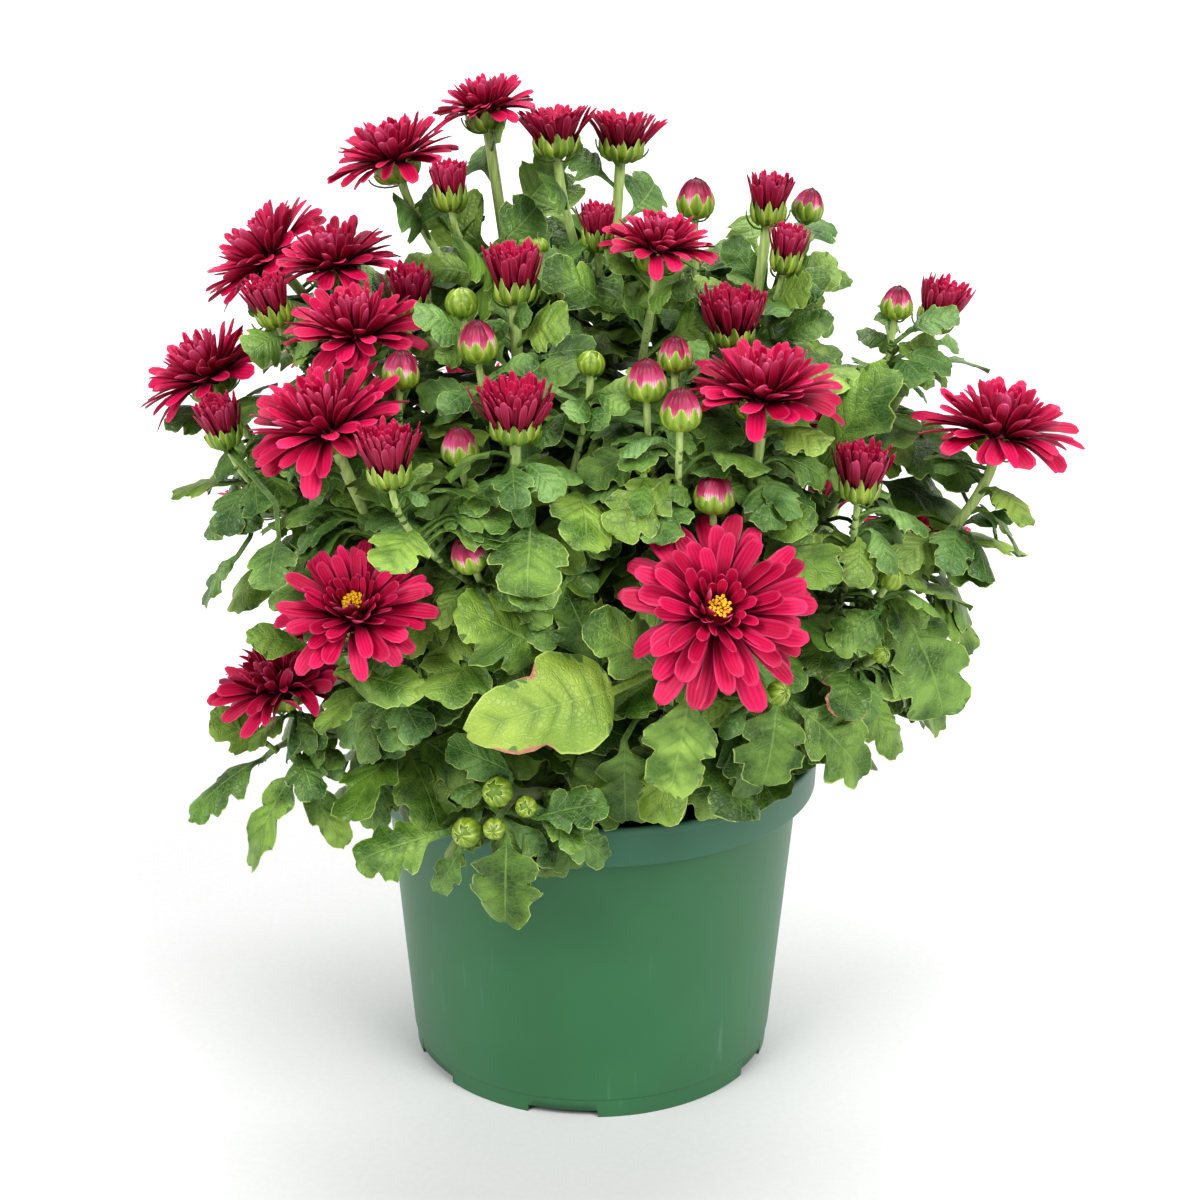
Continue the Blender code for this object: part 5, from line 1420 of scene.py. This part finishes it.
def ray_form(root, bearing, rise, bend, length, width, sweep, twist, cupping, tone, spread=RAY_SPREAD):
    """One ray petal in the head's own axes.

    Its midline is an arc that starts at the rise and turns down by the bend, and sways sideways by
    the sweep. Its width grows as a quarter sine, then closes as an ellipse. Across, it is an arc
    whose angle fades from its folded claw to its open tip, turned by the twist along its length.
    """
    u = np.linspace(0, 1, RAY_ROWS)
    t = np.sin(0.5 * math.pi * u * 0.975) ** 0.9
    angle = rise - bend * t
    mean = 0.5 * (angle[1:] + angle[:-1])
    gap = np.diff(t) * length
    out = np.concatenate([[0], np.cumsum(np.cos(mean) * gap)])
    up = np.concatenate([[0], np.cumsum(np.sin(mean) * gap)])
    grow = 0.42 + 0.58 * np.sin(0.5 * math.pi * np.minimum(t / 0.66, 1.0))
    close = np.sqrt(1 - np.clip((t - 0.82) / 0.182, 0, 1) ** 2)
    half = (0.5 * width * grow * close)[:, None]
    v = np.linspace(1, -1, spread + 1)[None, :]
    fold = np.maximum(cupping * (1.25 - 0.85 * t), 0.12)[:, None]
    side = half * np.sin(fold * v) / fold
    lift = half * (1 - np.cos(fold * v)) / fold
    turn = (twist * t)[:, None]
    across = side * np.cos(turn) - lift * np.sin(turn) + (sweep * length * t**2)[:, None]
    lift = side * np.sin(turn) + lift * np.cos(turn)
    x = root[0] + out[:, None] - lift * np.sin(angle)[:, None]
    z = root[1] + up[:, None] + lift * np.cos(angle)[:, None]
    middle = np.stack([x * math.sin(bearing) + across * math.cos(bearing),
                       across * math.sin(bearing) - x * math.cos(bearing), z], axis=-1)
    thickness = 0.22 * np.sqrt(1 - v**4) * (1 - 0.35 * t)[:, None]
    return sheet_form(middle, thickness, (t[:, None], v, tone))


def core_profile(radius, low, high):
    """Profile of the low dome that the petals stand on: a quarter ellipse."""
    rise = np.linspace(0, 0.98, 6)
    return [(0.2, low - 0.3), *zip(radius * np.sqrt(1 - rise**2), low + (high - low) * rise)]


# Along the layers of an open bloom, from the outermost petal to the innermost: the rise in degrees, how
# far it bends down, its length and width as parts of the bloom's half width, and how far it is folded
LAYERS = (0.0, 0.16, 0.32, 0.5, 0.7, 1.0)
LAYER_RISE = (5, 16, 28, 42, 57, 82)
LAYER_BEND = (32, 26, 14, 0, -14, -24)
LAYER_REACH = (1.05, 1.02, 0.95, 0.86, 0.78, 0.62)
LAYER_WIDTH = (0.25, 0.24, 0.205, 0.165, 0.125, 0.085)
LAYER_FOLD = (0.42, 0.50, 0.70, 0.95, 1.15, 1.30)


def open_head(width, open_middle, wilt, dice):
    """The rays of an open bloom, outermost first, each a golden angle past the last.

    An open middle, as a part of the petals, leaves out the innermost ones and shortens those by it.
    Wilt, from 1 up, is how many times further the petals sway, twist and curl.
    """
    half = 0.5 * width
    base = cup_radius("open", width) * 0.86
    forms = [turned_form(core_profile(base * 0.86, CUP_RIM - 0.1, 2.4 + 0.06 * half), 16, 0.0)]
    for i in range(RAYS):
        t = i / (RAYS - 1)
        if t > 1 - open_middle:
            break
        rise, bend, reach, wide, fold = [
            float(np.interp(t, LAYERS, values))
            for values in (LAYER_RISE, LAYER_BEND, LAYER_REACH, LAYER_WIDTH, LAYER_FOLD)]
        reach *= dice.uniform(0.80, 1.06) * (1 if t < 1 - 2.5 * open_middle else 0.62)
        forms.append(ray_form(
            (base * math.sqrt(1 - 0.93 * t), 0.4 + 2.0 * t),
            math.radians(GOLDEN_ANGLE * i + dice.uniform(-10, 10)),
            math.radians(rise + dice.uniform(-7, 7)), math.radians(bend + wilt * dice.uniform(-18, 18)),
            (half - 0.6 * base) * reach, half * wide * dice.uniform(0.85, 1.12) + 0.35,
            wilt * dice.uniform(-0.12, 0.12), wilt * dice.uniform(-0.6, 0.6), fold,
            dice.uniform(0, 1) / wilt))
    return forms


# Velvety ray petal: deep crimson above with fine darker lines along it, and silkier and paler pink below
# towards the tip. The lighter pink at its edges and its tip is painted highlight. The skin is matt but
# its papillae give a faint pink sheen at a low angle.
petal_skin, tree, shader, coords = new_material("velvety crimson petal")
along, across, tone = parts_of(tree, "blade")
under = lower_face(tree)
# Four or five darker lines from edge to edge
lines = add(tree, "Math", {0: across, 1: 14.0}, operation="MULTIPLY")
lines = add(tree, "Math", {0: lines}, operation="SINE")
lines = add(tree, "MapRange", {0: lines, "From Min": -1.0})
upper = add(tree, "Mix", {0: tone, 6: "#b00640", 7: "#e01c60"}, data_type="RGBA")
lower = add(tree, "Mix", {0: lines, 6: "#7c052c", 7: "#a81046"}, data_type="RGBA")
pale = add(tree, "MapRange", {0: along, "From Min": 0.60, "To Max": 0.95})
pale = add(tree, "Math", {0: pale, 1: tone}, operation="MULTIPLY")
lower = add(tree, "Mix", {0: pale, 6: lower, 7: "#de6c98"}, data_type="RGBA")
crimson = add(tree, "Mix", {0: under, 6: upper, 7: lower}, data_type="RGBA")
across = add(tree, "Math", {0: across}, operation="ABSOLUTE")
# Painted highlight: lighter pink towards both edges of the petal
edge = add(tree, "MapRange", {0: across, "From Min": 0.65, "To Max": 0.42})
shade = add(tree, "MapRange", {0: along, "From Min": 0.62, "From Max": 0.0, "To Max": 0.9})
faint = add(tree, "Math", {0: lines, 1: 0.36}, operation="MULTIPLY")
# Painted highlight: lighter pink on the last tenth of the petal, at its tip
tip = add(tree, "MapRange", {0: along, "From Min": 0.90, "To Max": 0.22})
for share, colour in ((edge, "#e85a88"), (shade, "#4c0418"), (faint, "#7d0828"), (tip, "#e8628f")):
    crimson = add(tree, "Mix", {0: share, 6: crimson, 7: colour}, data_type="RGBA")
grooves = add(tree, "Bump", {"Height": lines, "Strength": 0.3, "Distance": 0.00025})
feed(shader, {"Base Color": crimson, "Roughness": 0.50, "Specular IOR Level": 0.28, "Normal": grooves,
              "Sheen Weight": 0.05, "Sheen Roughness": 0.35, "Sheen Tint": "#ff7aa8",
              "Subsurface Weight": 0.12, "Subsurface Radius": (1.0, 0.12, 0.25),
              "Subsurface Scale": 0.0012})

# Disc floret: a waxy egg-yellow trumpet with a deeper orange throat
floret_skin, tree, shader, coords = new_material("waxy yellow disc floret")
throat = add(tree, "TexNoise", {"Vector": coords, "Scale": 900.0, "Detail": 1.0})
yolk = add(tree, "ValToRGB", {"Fac": throat}, stops=[(0.3, "#cf8208"), (0.55, "#f6c414")])
feed(shader, {"Base Color": yolk, "Roughness": 0.45, "Subsurface Weight": 0.2, "Subsurface Scale": 0.001})

# The two lowest blooms at the front show their middle, a tuft of small trumpets
EYED_BLOOMS = (11, 12)
# The bloom below them at the left has begun to wither: its petals sway and curl more
WITHERED_BLOOM = 13
WILT = 2.6
EYE_SHARE = 0.16
FLORETS = 30
FLORET_SPREAD = 2.7
FLORET_PROFILE = np.array([(0.25, -1.5), (0.3, 1.0), (0.38, 1.8), (0.62, 2.3), (0.5, 2.5), (0.2, 2.0)])


def eye_forms(foot, dice):
    """Small turned trumpets at golden angles on a disc, the outer ones leaning out."""
    forms = []
    for i in range(FLORETS):
        away = math.sqrt((i + 0.5) / FLORETS)
        turn = math.radians(GOLDEN_ANGLE * i)
        points, quads, triangles, values = turned_form(FLORET_PROFILE * dice.uniform(0.85, 1.15), 6, 0.5)
        lean = 0.35 * away * points[:, 2:]
        place = np.array([math.sin(turn), -math.cos(turn), 0.0])
        points = points + lean * place + FLORET_SPREAD * away * place + np.array([0, 0, foot - 0.6 * away])
        forms.append((points, quads, triangles, values))
    return forms


for number, stem, k, kind, width, seat, lean in heads_of("open"):
    open_middle = EYE_SHARE if number in EYED_BLOOMS else 0.0
    wilt = WILT if number == WITHERED_BLOOM else 1.0
    forms = open_head(width, open_middle, wilt, random.Random(BLOOM_SEED + number))
    turn = head_turn(*lean, spin_of(stem, number))
    nodes = [f"bloom_{number:02d}"]
    new_piece(f"rays_{number:02d}", seated(forms, turn, seat), petal_skin, nodes)
    if open_middle:
        forms = seated(eye_forms(2.6 + 0.03 * width, random.Random(EYE_SEED + number)), turn, seat)
        new_piece(f"florets_{number:02d}", forms, floret_skin, nodes)


# The half-open heads
# Heads whose narrow petals still stand together as a dense upright brush. The wider cups have flared
# a little, with one or two petals that have already fallen outwards.
HALF_OPEN_RAYS = 80
# How much further the fine quills reach than the solid's few
QUILL_REACH = 1.10
# The petals of a cup that have fallen outwards
FALLEN_RAYS = (3, 6)
HALF_OPEN_SEED = 4000


def half_open_head(kind, width, dice):
    """The rays of a half-open head.

    In a half-open head each midline is an arc that leaves the base outwards and ends upright, so
    that the brush is round. In a cup the rays flare out straight to one level.
    """
    half = 0.5 * width
    base = cup_radius(kind, width) * 0.88
    forms = [turned_form(core_profile(base * 0.9, CUP_RIM - 0.1, 3.0), 16, 0.0)]
    height = QUILL_REACH * brush_height(kind, width)
    for i in range(HALF_OPEN_RAYS):
        t = i / (HALF_OPEN_RAYS - 1)
        radius = base * math.sqrt(1 - 0.94 * t)
        foot = CUP_RIM + 0.4 + 5.0 * t
        dome = float(np.interp(t, [0, 0.4, 1], [0.86, 0.98, 0.84]))
        level = height * dome * dice.uniform(0.80, 1.08) - foot
        flare = max(half * math.sqrt(1 - 0.90 * t) - radius, 0.0)
        lean = math.atan(flare / level) + dice.uniform(-0.10, 0.12)
        reach = level / math.cos(lean)
        if kind == "half":
            rise = math.pi / 2 - 1.45 * lean
            bend = -0.9 * lean - dice.uniform(-0.15, 0.25)
        else:
            rise, bend = math.pi / 2 - lean, dice.uniform(-0.15, 0.25)
            if i in FALLEN_RAYS:
                rise = math.radians(dice.uniform(18, 32))
        forms.append(ray_form(
            (radius, foot), math.radians(GOLDEN_ANGLE * i + dice.uniform(-5, 5)), rise, bend, reach,
            float(np.interp(t, [0, 1], [2.5, 1.7])) * (0.6 + 0.02 * width), dice.uniform(-0.06, 0.06),
            dice.uniform(-0.5, 0.5), dice.uniform(1.1, 1.4), 0.45 * dice.uniform(0, 1), QUILL_SPREAD))
    return forms


for number, stem, k, kind, width, seat, lean in heads_of("cup", "half"):
    forms = half_open_head(kind, width, random.Random(HALF_OPEN_SEED + number))
    forms = seated(forms, head_turn(*lean, spin_of(stem, number)), seat)
    new_piece(f"quills_{number:02d}", forms, petal_skin, [f"half_open_bloom_{number:02d}"])


# The closed buds
# Egg-shaped buds: broad petals, pale pink at the foot and crimson at the top, close over a middle
# painted near black as shade, and stand in a cup of pointed green scales. The youngest are round and
# green all over.
BUD_PETALS = 13
BUD_TIPS = 8
BUD_SEED = 5000
# Rows of green scales: count, lowest and highest point as parts of the half width, and bulge in mm
BUD_SCALES = ((8, -0.70, 0.55, 0.75), (7, -0.95, 0.12, 1.0))
GREEN_SCALES = ((6, -0.2, 0.92, 0.1), (7, -0.6, 0.80, 0.25), (7, -0.92, 0.35, 0.4))


def egg_profile(half, rise):
    """A function from height to radius: half an ellipse below the middle and a taller one above."""
    def radius_at(height):
        reach = np.where(height < 0, half, rise * half)
        return half * np.sqrt(np.maximum(0.0, 1 - (height / reach) ** 2)) + 0.12
    return radius_at


def bud_forms(kind, width, dice):
    """The forms of one closed bud: its petals or inner scales, then two rows of outer scales."""
    half = 0.5 * width
    rise, slim, along = (1.5, 0.88, 1.0) if kind == "bud" else (1.0, 0.93, 0.3)
    radius_at = egg_profile(half * slim, rise)
    heights = half * slim * np.sin(np.linspace(-0.49, 0.49, 10) * math.pi)
    heights[5:] *= rise
    # In a bud the core takes the near-black end of the petal colours: painted shade where the petals close
    core = turned_form([(float(radius_at(height)) * 0.94, height) for height in heights], 16, 0.6, along)
    petals, scales = ([core], []) if kind == "bud" else ([], [core])
    if kind == "bud":
        step = 2 * math.pi / BUD_PETALS
        for i in range(BUD_PETALS):
            petals.append(scale_form(
                radius_at, -0.5 * half, half * rise * dice.uniform(0.80, 0.93),
                (i + dice.uniform(-0.2, 0.2)) * step, dice.uniform(1.5, 2.1) * step * half,
                0.05 + 0.16 * (i % 3), -0.1, dice.uniform(0, 0.8), 0.4))
        step = 2 * math.pi / BUD_TIPS
        for i in range(BUD_TIPS):
            petals.append(scale_form(
                egg_profile(half * 0.75, 1.1 * rise), 0.2 * half, half * rise * dice.uniform(0.88, 0.96),
                (i + dice.uniform(-0.2, 0.2)) * step, 1.1 * step * half, 0.2, 0.0, 1.0, 0.5))
    for ring, (count, low, high, bulge) in enumerate(BUD_SCALES if kind == "bud" else GREEN_SCALES):
        for i in range(count):
            scales.append(scale_form(
                radius_at, low * half, (high + dice.uniform(-0.16, 0.14)) * half,
                (i + 0.5 * ring + dice.uniform(-0.08, 0.08)) * 2 * math.pi / count,
                2.5 * math.pi * half / count, bulge, 0.15, dice.uniform(0.4, 1)))
    turn = dice.uniform(0, 2 * math.pi)
    for i in range(2):
        scales.append(thread_form(0.8 * half, 0.9 * half, turn + 2.6 * i, 0.3, (1.0, -1.05 * half)))
    return petals, scales


# Folded bud petal: thin and silky, cream at its foot and pink in its middle, with fine darker lines
# along it. Where it closes it turns its own deep crimson, then near black as painted shade of the
# opening. Some petals are crimson from their foot.
bud_skin, tree, shader, coords = new_material("silky pink bud petal")
along, across, tone = parts_of(tree, "blade")
pale = add(tree, "ValToRGB", {"Fac": along}, stops=[
    (0.3, "#e6d9b4"), (0.46, "#eebfca"), (0.58, "#d2608a"), (0.78, "#9c1c48"), (1.0, "#3f0716")])
dark = add(tree, "ValToRGB", {"Fac": along}, stops=[
    (0.3, "#d9a7a0"), (0.42, "#c04a78"), (0.58, "#a01c48"), (0.78, "#760d2f"), (1.0, "#3f0716")])
which = add(tree, "MapRange", {0: tone, "From Min": 0.25, "From Max": 0.75})
body = add(tree, "Mix", {0: which, 6: pale, 7: dark}, data_type="RGBA")
lines = add(tree, "Math", {0: across, 1: 22.0}, operation="MULTIPLY")
lines = add(tree, "Math", {0: lines}, operation="COSINE")
lines = add(tree, "MapRange", {0: lines, "From Min": -0.2, "To Max": 0.45})
lined = add(tree, "Mix", {0: lines, 6: body, 7: "#8f1c45"}, data_type="RGBA")
feed(shader, {"Base Color": lined, "Roughness": 0.42, "Specular IOR Level": 0.35, "Subsurface Weight": 0.12,
              "Subsurface Radius": (1.0, 0.4, 0.5), "Subsurface Scale": 0.0012})

buds_by_stem = {}
for number, stem, k, kind, width, seat, lean in heads_of("bud", "green"):
    found = bud_forms(kind, width, random.Random(BUD_SEED + 10 * stem + k))
    for forms, more in zip(buds_by_stem.setdefault(stem, ([], [])), found):
        forms.extend(seated(more, head_turn(*lean, 0.0), seat))
for stem, (petals, scales) in buds_by_stem.items():
    if petals:
        stem_piece("bud_petals", stem, petals, bud_skin)
    stem_piece("bud_scales", stem, scales, scale_skin)
